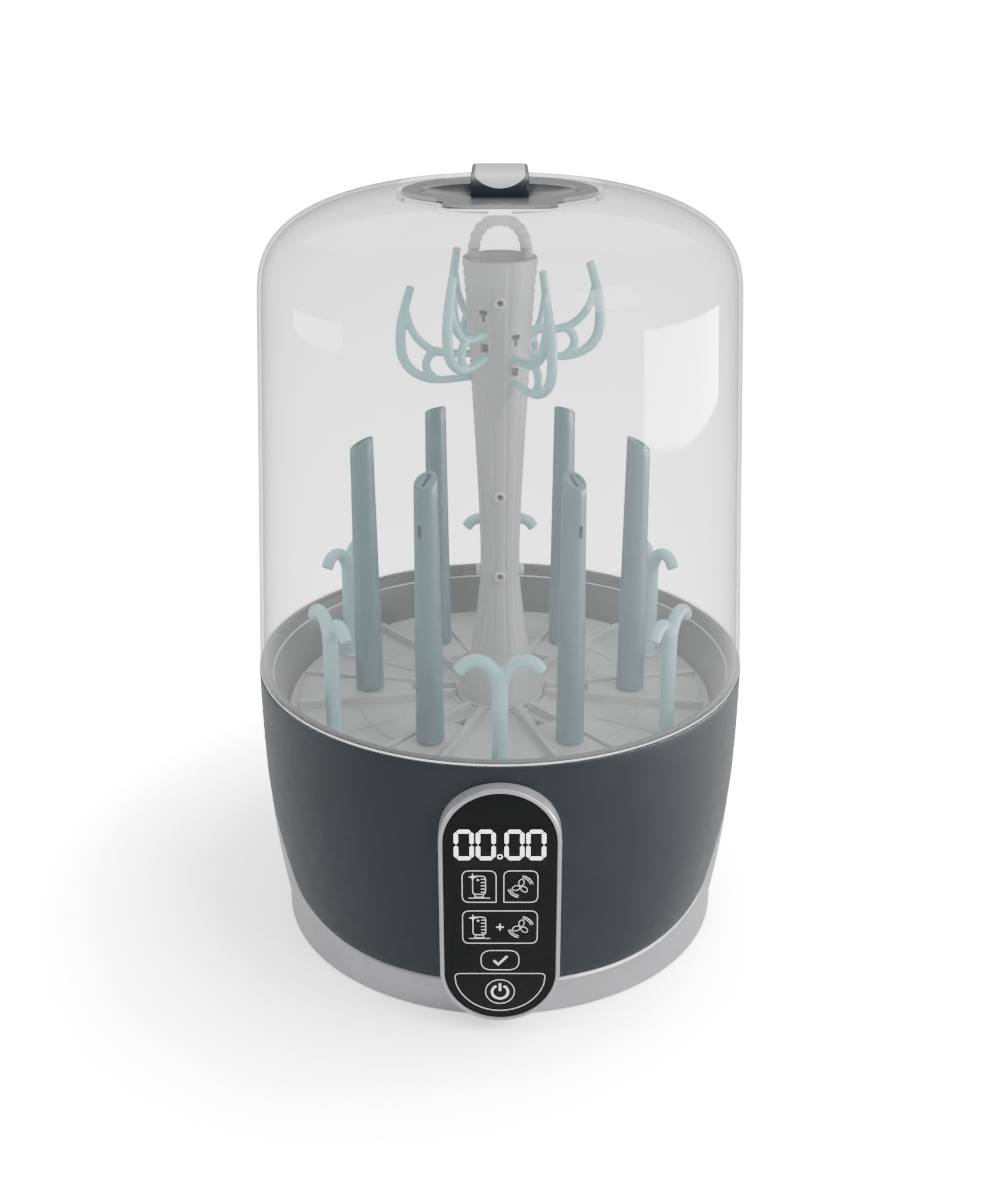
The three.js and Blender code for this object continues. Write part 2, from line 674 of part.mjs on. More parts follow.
// The lid's handle: an arch from the front of the cap to the back, with an inlay let into its top.
function archLine(drop) {
  const foot = CAP_TOP + GAP;
  const rise = HANDLE.top - drop - foot;
  const reach = HANDLE.reach - drop;
  return heights(0, 180, ARCH_STEPS).map((angle) => {
    const side = Math.cos(angle * deg);
    const y = reach * Math.sign(side) * Math.abs(side) ** 0.75;
    return v2(y, foot + rise * Math.sin(angle * deg) ** 0.55);
  });
}
const archShape = (outer, inner) => new THREE.Shape([...archLine(outer), ...archLine(inner).reverse()]);
const archHalf = HANDLE.width / 2;
const inlayZone = (grow) => {
  const half = INLAY.half + grow;
  const reach = INLAY.reach + grow;
  return box([-half, half], [-reach, reach], [INLAY.low - grow, HANDLE.top + 2]);
};
const handleArch = cut(
  slabX(archShape(0, HANDLE.thick), -archHalf, archHalf),
  slabX(archShape(-2, INLAY.deep), -20, 20).intersect(inlayZone(GAP)),
);
piece("lid_handle", handleArch, paint(0x2d353b, 0.4));
piece(
  "handle_inlay",
  slabX(archShape(0, INLAY.deep - GAP), -20, 20).intersect(inlayZone(0)),
  paint(0xc4c8c7, 0.35),
);

export default sterilizer;
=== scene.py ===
import math

import bmesh
import bpy
import numpy as np
from mathutils import Matrix, Vector


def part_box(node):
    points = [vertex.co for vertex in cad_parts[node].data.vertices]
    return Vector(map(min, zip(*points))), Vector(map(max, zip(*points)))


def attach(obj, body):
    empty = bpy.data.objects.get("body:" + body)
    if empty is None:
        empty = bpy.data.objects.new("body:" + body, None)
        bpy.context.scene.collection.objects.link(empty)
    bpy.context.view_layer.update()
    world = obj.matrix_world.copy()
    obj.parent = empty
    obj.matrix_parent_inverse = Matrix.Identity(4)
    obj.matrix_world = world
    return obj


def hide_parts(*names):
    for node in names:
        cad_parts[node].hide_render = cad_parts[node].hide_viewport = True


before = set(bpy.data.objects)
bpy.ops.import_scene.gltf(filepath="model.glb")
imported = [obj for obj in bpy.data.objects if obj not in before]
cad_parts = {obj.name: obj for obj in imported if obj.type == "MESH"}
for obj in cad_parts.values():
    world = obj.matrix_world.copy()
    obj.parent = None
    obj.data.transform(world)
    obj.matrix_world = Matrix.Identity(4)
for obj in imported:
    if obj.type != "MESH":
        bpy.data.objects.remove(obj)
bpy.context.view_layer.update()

MM = 0.001


def high(node):
    """The top of a CAD node, in millimetres."""
    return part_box(node)[1].z / MM


def low(node):
    """The bottom of a CAD node, in millimetres."""
    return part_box(node)[0].z / MM


def side_reach(node):
    """How far a CAD node reaches along +X, in millimetres."""
    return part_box(node)[1].x / MM


def front_reach(node):
    """How far a CAD node reaches along -Y, in millimetres."""
    return -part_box(node)[0].y / MM


# ------------------------------------------------------------ sizes, in millimetres
RIM_Z = high("base_shell")
RIM_R = side_reach("base_shell")
BASE_TAPER = 12.3
BASE_CURVE = 2.7
BASE_FOOT_R = 125.0
BASE_LOW = low("plinth")
BASE_SIDES = 288
WALL = 2.6
RIM_INNER_R = 130.3
RIM_LIP = 4.0
SEAM = 1.0
TRIM_INSET = 0.3
PLINTH_Z = 22.6
LEDGE_DROP = 5.4
WING_Z = high("plinth")
DOME_LOW = low("dome")
DOME_R = side_reach("dome")
DOME_TAPER = 0.051
DOME_WALL = 2.2
FOOT_LINE = 1.1
SHOULDER_Z = 356
CROWN_Z = 413
CAP_TOP = high("cap_dish")
CAP_R = side_reach("cap_dish")
CAP_FRONT = front_reach("cap_dish")
CAP_TAB_HALF = 27.2
WELL = (40.0, 23.0)
HANDLE_HALF = side_reach("lid_handle")
HANDLE_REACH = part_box("lid_handle")[1].y / MM
HANDLE_TOP = high("lid_handle")
TRAY_R = side_reach("rack_tray")
TRAY_LOW = low("rack_tray")
TRAY_TOP = 128.0
PAD_TOP = 131.5
RIB_TOP = high("rack_tray")
TUBE_CIRCLE = 73.9
TUBE_TIP = 281.0
TUBE_FLAT = 0.94
TIP_SLOPE = 0.52
HOOK_CIRCLE = 103.0
HOOK_TOP = high("bottle_hook_5")
COLUMN_TOP = high("rack_column")
ARM_STEP = 12.6
PANEL_FRONT = front_reach("panel_bezel")
PANEL_LOW = low("panel_bezel")
PANEL_HIGH = high("panel_bezel")
PANEL_HALF = side_reach("panel_bezel")
FACE_HALF = side_reach("touch_panel")
FILTER_Z = 56.0
FILTER_HOLE_R = 24.2
FLOOR_GAIN = 40.0
FLOOR_THROUGH_LID = 5.6
SHADOW_REACH = 0.2
SHADOW_DEPTH = 6.5
SHADOW_FLOOR = 0.08
SHADOW_LEAN = (0.5, 0.0, 0.866)
WORLD_LIGHT = 0.62
BACKDROP = 16.0
BACKDROP_THROUGH_LID = 2.8
CAMERA_PLACE = (0, -0.787, 0.5182)
CAMERA_DOWN = 0.4
CAMERA_LENS = 46.08
CAMERA_SENSOR = 36
# A quarter round, as shares of its radius: how far in from the side and how far in from the end.
ROUND_EDGE = ((1.0, 0.0), (0.62, 0.08), (0.29, 0.29), (0.08, 0.62), (0.0, 1.0))


# ------------------------------------------------------------ small maths
def catmull(points, steps):
    """A smooth curve through a few points, ends included."""
    p = np.array(points, float)
    p = np.vstack([2 * p[0] - p[1], p, 2 * p[-1] - p[-2]])
    out = []
    for i in range(1, len(p) - 2):
        for t in np.linspace(0, 1, steps, endpoint=False):
            a = 2 * p[i]
            b = p[i + 1] - p[i - 1]
            c = 2 * p[i - 1] - 5 * p[i] + 4 * p[i + 1] - p[i + 2]
            d = -p[i - 1] + 3 * p[i] - 3 * p[i + 1] + p[i + 2]
            out.append(0.5 * (a + b * t + c * t * t + d * t**3))
    out.append(p[-2])
    return np.array(out)


def rounded(points, radius, steps=5, closed=False):
    """A polyline with its corners turned into small arcs. radius is one number, or one for each point."""
    p = [np.array(q, float) for q in points]
    n = len(p)
    radii = [radius] * n if np.isscalar(radius) else list(radius)
    out = []
    for i in range(n):
        if not closed and i in (0, n - 1) or radii[i] <= 0:
            out.append(p[i])
            continue
        back = p[i - 1] - p[i]
        on = p[(i + 1) % n] - p[i]
        reach = min(radii[i], 0.45 * np.linalg.norm(back), 0.45 * np.linalg.norm(on))
        a = p[i] + back / np.linalg.norm(back) * reach
        b = p[i] + on / np.linalg.norm(on) * reach
        for t in np.linspace(0, 1, steps):
            out.append((1 - t) ** 2 * a + 2 * t * (1 - t) * p[i] + t * t * b)
    return out


def base_r(z):
    """The base's outer radius at a height."""
    share = np.clip(np.asarray(z, float), -5, RIM_Z) / RIM_Z
    curve = RIM_R - BASE_TAPER * (1 - share) ** BASE_CURVE
    return np.maximum(BASE_FOOT_R, curve)


EDGE_HALF = [(0, WING_Z), (26, 92), (46, 69), (57, 52), (66, 37), (84, 28), (108, PLINTH_Z), (134, PLINTH_Z)]
EDGE = catmull([(-y, z) for y, z in EDGE_HALF[:0:-1]] + EDGE_HALF, 12)


def plinth_edge(angle):
    """The height where shell and plinth meet, at an angle round the base."""
    z = np.full(np.shape(angle), 40.0)
    for _ in range(40):
        y = np.abs(base_r(z) * np.sin(angle))
        z = 0.5 * z + 0.5 * np.interp(y, EDGE[:, 0], EDGE[:, 1])
    return z


# ------------------------------------------------------------ mesh helpers, in millimetres
def mesh_of(verts, faces):
    mesh = bpy.data.meshes.new("mesh")
    mesh.from_pydata((np.asarray(verts, float) * MM).tolist(), [], faces)
    work = bmesh.new()
    work.from_mesh(mesh)
    bmesh.ops.remove_doubles(work, verts=work.verts, dist=2e-6)
    bmesh.ops.dissolve_degenerate(work, edges=work.edges, dist=1e-7)
    bmesh.ops.recalc_face_normals(work, faces=work.faces)
    work.to_mesh(mesh)
    work.free()
    return mesh


def grid(rows, around=True, along=False):
    """Quads over rows of points. around closes each row on itself, and along closes the last row on the
    first."""
    rows = np.asarray(rows, float)
    v, u, _ = rows.shape
    faces = []
    for i in range(v if along else v - 1):
        a = i * u
        b = ((i + 1) % v) * u
        for j in range(u if around else u - 1):
            k = (j + 1) % u
            faces.append((a + j, a + k, b + k, b + j))
    return rows.reshape(-1, 3), faces


def angles(count):
    return np.linspace(0, 2 * math.pi, count, endpoint=False)


def ring_row(radius, z, count):
    """One row of points at a radius, which may change with the angle, and a height."""
    t = angles(count)
    r = np.broadcast_to(radius, t.shape)
    h = np.broadcast_to(z, t.shape)
    return np.stack([r * np.cos(t), r * np.sin(t), h], 1)


def lathe(profile, count=128, along=False):
    return grid([ring_row(r, z, count) for r, z in profile], along=along)


def rod(radius, bottom, top, count):
    """A solid cylinder about Z."""
    return lathe([(0, bottom), (radius, bottom), (radius, top), (0, top)], count)


def capped(rows):
    """A grid closed by a face over its first row and one over its last."""
    verts, faces = grid(rows)
    n = len(rows[0])
    return verts, faces + [tuple(range(n))[::-1], tuple(range(len(verts) - n, len(verts)))]


def run_along(path):
    """How far along a path each of its points lies."""
    return np.concatenate([[0], np.cumsum(np.linalg.norm(np.diff(path, axis=0), axis=1))])


def spot(radius, degrees):
    a = math.radians(degrees)
    return radius * math.cos(a), radius * math.sin(a)


def sweep(path, radius, sides=16, side_axis=(0, 1, 0), blunt=False):
    """A round bar along a path in one plane, with rounded ends. radius may change along it, and blunt
    cuts the far end off square."""
    path = np.asarray(path, float)
    radii = np.broadcast_to(np.asarray(radius, float), (len(path),))
    ahead = np.gradient(path, axis=0)
    ahead /= np.linalg.norm(ahead, axis=1)[:, None]
    side = np.asarray(side_axis, float)
    caps = np.linspace(0, math.pi / 2, 5)[:-1]
    stations = []
    for c in caps:
        stations.append((path[0] - ahead[0] * radii[0] * math.cos(c), ahead[0], radii[0] * math.sin(c)))
    for p, d, r in zip(path, ahead, radii):
        stations.append((p, d, r))
    for c in caps[::-1]:
        depth = 0.0 if blunt else math.cos(c)
        stations.append((path[-1] + ahead[-1] * radii[-1] * depth, ahead[-1], radii[-1] * math.sin(c)))
    rows = []
    t = angles(sides)
    for p, d, r in stations:
        up = np.cross(d, side)
        up /= np.linalg.norm(up)
        ring = p + r * (np.cos(t)[:, None] * side + np.sin(t)[:, None] * up)
        rows.append(ring)
    return grid(rows)


def box_mesh(lows, highs):
    (x0, y0, z0), (x1, y1, z1) = lows, highs
    verts = [(x, y, z) for z in (z0, z1) for y in (y0, y1) for x in (x0, x1)]
    faces = [(0, 2, 3, 1), (4, 5, 7, 6), (0, 1, 5, 4), (2, 6, 7, 3), (0, 4, 6, 2), (1, 3, 7, 5)]
    return np.array(verts, float), faces


def merged(*parts):
    """Several (verts, faces) pairs as one."""
    verts, faces, start = [], [], 0
    for v, f in parts:
        verts.append(np.asarray(v, float))
        faces += [tuple(i + start for i in face) for face in f]
        start += len(v)
    return np.vstack(verts), faces


def turned(part, degrees):
    v, f = part
    c, s = math.cos(math.radians(degrees)), math.sin(math.radians(degrees))
    v = np.asarray(v, float)
    return np.stack([c * v[:, 0] - s * v[:, 1], s * v[:, 0] + c * v[:, 1], v[:, 2]], 1), f


def moved(part, x=0.0, y=0.0, z=0.0):
    v, f = part
    return np.asarray(v, float) + np.array([x, y, z]), f


def pointing(part, axis):
    """A part made about Z, laid along +X or +Y."""
    v, f = part
    v = np.asarray(v, float)
    if axis == "X":
        return np.stack([v[:, 2], v[:, 0], v[:, 1]], 1), f
    return np.stack([v[:, 1], v[:, 2], v[:, 0]], 1), f


def linked(name, data):
    """A new object in the scene."""
    obj = bpy.data.objects.new(name, data)
    bpy.context.scene.collection.objects.link(obj)
    return obj


def add_object(name, part):
    return linked(name, part if isinstance(part, bpy.types.Mesh) else mesh_of(*part))


def modify(obj, kind, **settings):
    change = obj.modifiers.new(kind.lower(), kind)
    for key, value in settings.items():
        setattr(change, key, value)


def bevel_edges(obj, width, segments, limit):
    """Rounded edges where faces meet at more than a limit, in degrees."""
    angle = math.radians(limit)
    modify(obj, "BEVEL", width=width * MM, segments=segments, limit_method="ANGLE", angle_limit=angle)


def applied(obj):
    """The object's mesh with its modifiers applied."""
    bpy.context.view_layer.update()
    graph = bpy.context.evaluated_depsgraph_get()
    mesh = bpy.data.meshes.new_from_object(obj.evaluated_get(graph))
    bpy.data.objects.remove(obj)
    return mesh


def carved(part, *cutters):
    """A part with cutters taken away from it."""
    obj = add_object("carve", part)
    tools = [add_object("cutter", cutter) for cutter in cutters]
    for tool in tools:
        modify(obj, "BOOLEAN", operation="DIFFERENCE", solver="EXACT", object=tool)
    mesh = applied(obj)
    for tool in tools:
        bpy.data.objects.remove(tool)
    return mesh


def fused(part, voxel):
    """Crossing bars melted into one moulded body, with soft fillets where they meet."""
    obj = add_object("fuse", part)
    modify(obj, "REMESH", mode="VOXEL", voxel_size=voxel * MM)
    modify(obj, "SMOOTH", factor=0.5, iterations=4)
    return applied(obj)


def bevelled(part, width, segments=3):
    obj = add_object("bevel", part)
    bevel_edges(obj, width, segments, 30)
    return applied(obj)


def joined(mesh, extra):
    """A mesh with another part's surfaces added beside its own."""
    other = extra if isinstance(extra, bpy.types.Mesh) else mesh_of(*extra)
    work = bmesh.new()
    work.from_mesh(mesh)
    work.from_mesh(other)
    work.to_mesh(mesh)
    work.free()
    return mesh


def placed(mesh, degrees, reach=0.0, lift=0.0):
    """A copy of a mesh, moved out along +X and up, then turned about the axis."""
    copy = mesh.copy()
    turn = Matrix.Rotation(math.radians(degrees), 4, "Z")
    copy.transform(turn @ Matrix.Translation((reach * MM, 0, lift * MM)))
    return copy


def on_filter_axis(part):
    """A part made about Z, laid on the filter's axis."""
    return moved(pointing(part, "Y"), z=FILTER_Z)


def repaint(obj, material, chosen):
    """A second material on the faces whose middle, in millimetres, passes a test."""
    obj.data.materials.append(material)
    for face in obj.data.polygons:
        if chosen(*(face.center / MM)):
            face.material_index = 1


def piece(name, part, material, body, slot, *nodes, sharp=40):
    """A finished piece of the visual model, riding on a body and standing for its CAD nodes."""
    obj = add_object(name, part)
    obj.data.materials.clear()
    obj.data.materials.append(material)
    obj.data.shade_smooth()
    obj.data.set_sharp_from_angle(angle=math.radians(sharp))
    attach(obj, body)
    if nodes:
        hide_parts(*nodes)
    return obj


def six(name, mesh, material, body, slot, first=0, reach=0.0, drop=0.0):
    """Six copies of a mesh round the axis, each standing for its CAD node. drop lowers every second one."""
    for i in range(6):
        copy = placed(mesh, first + 60 * i, reach, -drop if i % 2 else 0.0)
        piece(f"{name}_skin_{i + 1}", copy, material, body, slot, f"{name}_{i + 1}")


# ------------------------------------------------------------ materials
class Nodes:
    """The node tree of a material or the world, with short ways to add and join nodes."""

    def __init__(self, owner, shader):
        owner.use_nodes = True
        self.owner = owner
        self.tree = owner.node_tree
        self.shader = self.tree.nodes[shader]

    def feed(self, socket, value):
        """A constant or another node's output, given to an input."""
        if isinstance(value, bpy.types.NodeSocket):
            self.tree.links.new(value, socket)
        else:
            socket.default_value = value

    def set(self, node, **inputs):
        for name, value in inputs.items():
            self.feed(node.inputs[name.replace("_", " ")], value)
        return node

    def add(self, kind, **inputs):
        return self.set(self.tree.nodes.new("ShaderNode" + kind), **inputs)

    def place(self):
        return self.add("TexCoord").outputs["Object"]

    def noise(self, scale, detail=4.0, stretch=None):
        source = self.place()
        if stretch:
            source = self.add("Mapping", Vector=source, Scale=stretch).outputs["Vector"]
        return self.add("TexNoise", Vector=source, Scale=scale, Detail=detail).outputs["Fac"]

    def vary(self, fac, dark, light):
        """A colour that moves between two as fac goes from 0.3 to 0.7."""
        ramp = self.add("ValToRGB", Fac=fac)
        for stop, position, colour in zip(ramp.color_ramp.elements, (0.3, 0.7), (dark, light)):
            stop.position = position
            stop.color = (*colour, 1)
        return ramp.outputs["Color"]

    def span(self, fac, bottom, top):
        """A number that moves from bottom to top as fac goes from 0 to 1."""
        return self.add("MapRange", Value=fac, To_Min=bottom, To_Max=top).outputs["Result"]

    def maths(self, operation, *values, clamp=True):
        """One sum on outputs or plain numbers, kept between 0 and 1 unless clamp is off."""
        node = self.add("Math")
        node.operation = operation
        node.use_clamp = clamp
        for socket, value in zip(node.inputs, values):
            self.feed(socket, value)
        return node.outputs["Value"]

    def mix(self, fac, first, second):
        node = self.add("MixShader", Fac=fac)
        self.feed(node.inputs[1], first)
        self.feed(node.inputs[2], second)
        return node.outputs["Shader"]

    def bump(self, fac, strength, depth):
        node = self.add("Bump", Height=fac, Strength=strength, Distance=depth * MM)
        self.set(self.shader, Normal=node.outputs["Normal"])

    def show(self, shader):
        self.set(self.tree.nodes["Material Output"], Surface=shader)


def surface(name):
    """A new material's node tree."""
    return Nodes(bpy.data.materials.new(name), "Principled BSDF")


def shade(colour, factor):
    return tuple(min(1.0, c * factor) for c in colour)


def plastic(name, colour, roughness, grain=0.06, coat=0.0, metallic=0.0, shine=0.5, stretch=None):
    """Moulded plastic or paint: a little cloudiness, uneven gloss, and a very fine surface grain."""
    m = surface(name)
    cloud = m.vary(m.noise(38, 5, stretch), shade(colour, 0.94), shade(colour, 1.06))
    gloss = m.span(m.noise(90, 4), roughness * 0.85, roughness * 1.2)
    m.set(m.shader, Base_Color=cloud, Roughness=gloss, Metallic=metallic)
    m.set(m.shader, Specular_IOR_Level=shine, Coat_Weight=coat, Coat_Roughness=0.08)
    m.bump(m.noise(1500, 3, stretch), grain, 0.05)
    return m.owner


def clear_plastic(name, white=0.86, edge=(0.0, 0.0), mirror_index=1.45, painted_glow=0.0):
    """The lid: see-through with a faint haze and a clear gloss, and paler where it is seen side on. edge is
    the least and most white haze that a painted highlight, broken up by noise, adds to the surface, and the
    last argument is the strength of a white emission that paints a glowing highlight on every face wearing
    this material, though the lid is no lamp."""
    m = surface(name)
    tint = m.vary(m.noise(14, 3), (white * 0.94,) * 3, (white,) * 3)
    m.set(m.shader, Base_Color=tint, Roughness=0.5, Specular_IOR_Level=0.0)
    # Painted glow: a white emission that makes these faces shine as a highlight, though the lid gives no
    # light.
    m.set(m.shader, Emission_Color=(1, 1, 1, 1), Emission_Strength=painted_glow)
    see_through = m.add("BsdfTransparent", Color=(0.97, 0.972, 0.972, 1))
    facing = m.add("LayerWeight", Blend=0.5)
    side_on = m.maths("POWER", facing.outputs["Facing"], 7.0)
    veil = m.maths("ADD", m.maths("MULTIPLY", side_on, 0.55), m.span(m.noise(9, 3), 0.065, 0.085))
    # Painted highlight: extra white haze, broken up by noise, on the faces that wear this material.
    if max(edge) > 0:
        veil = m.maths("ADD", veil, m.span(m.noise(55, 2), *edge))
    body = m.mix(veil, see_through.outputs["BSDF"], m.shader.outputs["BSDF"])
    gloss = m.add("BsdfGlossy", Roughness=0.05)
    mirror = m.add("Fresnel", IOR=mirror_index)
    outside = m.maths("SUBTRACT", 1.0, m.add("NewGeometry").outputs["Backfacing"])
    reflected = m.maths("MULTIPLY", mirror.outputs["Fac"], outside)
    m.show(m.mix(reflected, body, gloss.outputs["BSDF"]))
    return m.owner


def brushed(name, colour, roughness):
    """Turned steel with fine concentric scratches."""
    m = surface(name)
    wave = m.add("TexWave", Vector=m.place(), Scale=260, Distortion=1.5)
    wave.wave_type = "RINGS"
    wave.rings_direction = "Z"
    scratch = wave.outputs["Fac"]
    cloud = m.vary(m.noise(60), shade(colour, 0.9), shade(colour, 1.05))
    gloss = m.span(scratch, roughness * 0.8, roughness * 1.3)
    m.set(m.shader, Base_Color=cloud, Metallic=1.0, Roughness=gloss)
    m.bump(scratch, 0.15, 0.02)
    return m.owner


def glow(name, colour, strength):
    """Lit marks behind the black face."""
    m = surface(name)
    cloud = m.vary(m.noise(400), shade(colour, 0.96), colour)
    m.set(m.shader, Base_Color=cloud, Roughness=0.4)
    m.set(m.shader, Emission_Color=(*colour, 1), Emission_Strength=strength)
    return m.owner


SLATE = plastic("slate_plastic", (0.0155, 0.021, 0.0255), 0.36, coat=0.04, shine=0.36)
SILVER = plastic("silver_paint", (0.5, 0.5, 0.52), 0.3, grain=0.04, metallic=0.55)
BOWL = plastic("bowl_plastic", (0.068, 0.07, 0.073), 0.38, grain=0.012)
# Painted highlight: near-white gloss on the thin ledge inside the bowl, so that it shows as a bright line.
BOWL_PAINTED_HIGHLIGHT = plastic("bowl_ledge_painted_highlight", (0.9, 0.9, 0.9), 0.2, grain=0.02, coat=0.5)
PALE = plastic("pale_rack_plastic", (0.49, 0.49, 0.49), 0.5, grain=0.03)
# Painted highlight: a lighter grey for the proud rings round the column's nozzle holes, standing for the
# light they catch.
BOSS_PAINTED_HIGHLIGHT = plastic("boss_painted_highlight", (0.72, 0.72, 0.72), 0.4, grain=0.05)
MINT = plastic("mint_plastic", (0.38, 0.74, 0.735), 0.4, grain=0.02)
TEAL = plastic("teal_plastic", (0.088, 0.2, 0.232), 0.38, grain=0.02)
CAP = plastic("cap_plastic", (0.075, 0.077, 0.082), 0.3, grain=0.1)
HANDLE = plastic("handle_plastic", (0.009, 0.014, 0.019), 0.3, grain=0.05, shine=0.4)
INLAY = plastic("inlay_plastic", (0.68, 0.71, 0.7), 0.3, grain=0.04)
FACE = plastic("panel_glass", (0.003, 0.003, 0.0032), 0.42, grain=0.02, shine=0.22)
WINDOW = plastic("window_glass", (0.003, 0.003, 0.0032), 0.42, grain=0.02, shine=0.22)
RUBBER = plastic("foot_rubber", (0.016, 0.016, 0.017), 0.8, grain=0.4)
GASKET = plastic("gasket_silicone", (0.13, 0.133, 0.136), 0.6, shine=0.3)
INNER = plastic("inner_plastic", (0.045, 0.047, 0.05), 0.55, grain=0.15)
BOARD = plastic("board_lacquer", (0.02, 0.12, 0.045), 0.35)
CERAMIC = plastic("ceramic", (0.48, 0.45, 0.4), 0.7, grain=0.3)
PAPER = plastic("filter_paper", (0.72, 0.72, 0.7), 0.95, grain=0.6, stretch=(9, 1, 0.4))
STEEL = brushed("brushed_steel", (0.62, 0.62, 0.63), 0.28)
LIT = glow("lit_marks", (0.93, 0.95, 0.96), 2.4)
LINES = glow("printed_marks", (0.8, 0.82, 0.83), 0.9)
CLEAR = clear_plastic("clear_plastic")
# Painted highlight for the lid's foot line and collar ring: white haze broken up by noise, a strong mirror
# and a painted glow.
CLEAR_PAINTED_HIGHLIGHT = clear_plastic("clear_plastic_painted_highlight", white=1.0, edge=(0.4, 1.0), mirror_index=2.2, painted_glow=1.6)


# ------------------------------------------------------------ base casing
def skirt(bottom, top, inset, rows, inner=None, brow=None):
    """A wall on the base's outer surface between two heights that change with the angle, with round edges.
    brow is the size of the outer edge at the top, and inner a flat rim's inner radius."""
    count = BASE_SIDES
    edge = 0.5
    brow = edge if brow is None else brow
    lip = 0.0 if inner is None else RIM_LIP
    z0 = np.broadcast_to(bottom, count)
    z1 = np.broadcast_to(top, count)
    out = []

    def row(depth, z):
        out.append(ring_row(base_r(z) - inset - depth, z, count))

    for d, h in ROUND_EDGE:
        row(edge * d, z0 + edge * h)
    for s in np.linspace(0, 1, rows)[1:-1]:
        row(0.0, z0 + edge + (z1 - z0 - edge - brow) * s)
    shape = ROUND_EDGE if brow == edge else ((1.0, 0.0), (0.9, 0.05), (0.08, 0.92), (0.0, 1.0))
    for d, h in shape[::-1]:
        row(brow * d, z1 - brow * h)
    if inner is None:
        row(WALL - edge, z1)
        row(WALL, z1 - edge)
    else:
        out.append(ring_row(inner, z1, count))
        out.append(ring_row(inner, z1 - lip, count))
        row(WALL, z1 - lip)
    for s in np.linspace(1, 0, rows)[1:-1]:
        row(WALL, z0 + edge + (z1 - z0 - 2 * edge - lip) * s)
    row(WALL, z0 + edge)
    row(WALL - edge, z0)
    return grid(out, along=True)


def build_base():
    edge = plinth_edge(angles(BASE_SIDES))
    inlet = box_mesh((-64.4, 95, 31.6), (-41.6, 140, 50.4))
    wall = skirt(edge + SEAM / 2, RIM_Z, 0.0, 26, inner=RIM_INNER_R)
    shell = carved(wall, on_filter_axis(rod(FILTER_HOLE_R, 95, 155, 96)), inlet)
    casing = piece("base_shell_skin", shell, SLATE, "base", "slate_shell", "base_shell", sharp=50)
    repaint(casing, BOWL, lambda x, y, z: z > RIM_Z - 0.01)
    plinth = skirt(BASE_LOW, edge - SEAM / 2, TRIM_INSET, 30, brow=1.5)
    piece("plinth_skin", plinth, SILVER, "base", "silver_trim", "plinth")
    top = RIM_Z
    outside = [(0, 84), (101, 84), (110.5, 93), (117, 119.5), (121.9, 120.5), (130, top - 3.5), (130, top)]
    ledge = top - LEDGE_DROP
    inside = [(127.9, top), (127.3, ledge + 0.2), (126.5, ledge), (119.8, 123), (119.6, 121.7)]
    floor = [(114.8, 121.7), (108.2, 94.5), (100, 86.5), (0, 86.5)]
    radii = [0, 4, 6, 1, 1, 1, 0.3, 0.6, 0.1, 0.1, 0.4, 0.3, 0.6, 6, 6, 0]
    bowl = lathe(rounded(outside + inside + floor, radii), 160)
    bowl = piece("water_bowl_skin", bowl, BOWL, "base", "slate_shell", "water_bowl")
    # The bowl's inner ledge is painted near-white as a highlight line.
    repaint(bowl, BOWL_PAINTED_HIGHLIGHT, lambda x, y, z: abs(z - ledge - 0.1) < 0.2 and 126 < math.hypot(x, y) < 127.6)
    seal = [(131.2, top + 0.3), (131.2, 155.7), (130.3, 156.4), (128.9, 155.8), (128.8, top + 0.3)]
    gasket = lathe(rounded(seal, 0.4, closed=True), 160, along=True)
    piece("rim_gasket_skin", gasket, GASKET, "base", "gasket", "rim_gasket")
    cover = lathe(rounded([(0, 8), (117.5, 8), (117.5, 10.5), (0, 10.5)], 0.6), 128)
    slots = [box_mesh((x - 2.5, -50, 5), (x + 2.5, -20, 14)) for x in (-24, -12, 0, 12, 24)]
    drill = rod(2.1, 5, 14, 24)
    holes = [moved(drill, *spot(80, a)) for a in range(0, 360, 90)]
    cover = carved(cover, merged(*slots, *holes))
    piece("bottom_cover_skin", cover, INNER, "base", "inner_plastic", "bottom_cover")
    for i in range(4):
        profile = rounded([(0, 0), (7.8, 0), (9, 1.5), (9, 7.7), (0, 7.7)], 0.7)
        foot = moved(lathe(profile, 48), *spot(98, 45 + 90 * i))
        piece(f"foot_skin_{i + 1}", foot, RUBBER, "base", "foot_rubber", f"foot_{i + 1}")


# ------------------------------------------------------------ control panel
def stadium(half, bottom, top):
    """An upright outline with half-round ends, as (x, z) points."""
    t = np.linspace(0, math.pi, 72)
    over = np.stack([half * np.cos(t), top - half + half * np.sin(t)], 1)
    under = np.stack([half * np.cos(t + math.pi), bottom + half + half * np.sin(t + math.pi)], 1)
    return np.vstack([over, under])


def level(outline, z):
    """Points in x and y, laid at a height."""
    return np.column_stack([outline, np.full(len(outline), z)])


def upright(outline, y):
    outline = np.asarray(outline)
    return np.stack([outline[:, 0], np.full(len(outline), float(y)), outline[:, 1]], 1)


def build_bezel():
    def at(inset, y, raised=0.0):
        return upright(stadium(PANEL_HALF - inset, PANEL_LOW + inset, PANEL_HIGH - inset + raised), y)

    front = -PANEL_FRONT
    rows = [at(0, -118, 1.7), at(0, -131, 1.4), at(0, -134.5, 1.0), at(0, -137, 0.4), at(0, front + 1.2)]
    for d, h in ((0.1, 0.6), (0.35, 0.25), (0.8, 0.0)):
        rows.append(at(d, front + h))
    for d, h in ((1.7, 0.0), (2.0, 0.12), (2.15, 0.4), (2.15, 3.0), (6.0, 3.4), (6.0, 22.0)):
        rows.append(at(d, front + h))
    casing = lathe([(0, -6)] + [(base_r(z) - 0.4, z) for z in np.linspace(-5, 152, 40)] + [(0, 152)], 128)
    bezel = carved(grid(rows, along=True), casing)
    piece("panel_bezel_skin", bezel, SILVER, "base", "silver_trim", "panel_bezel")


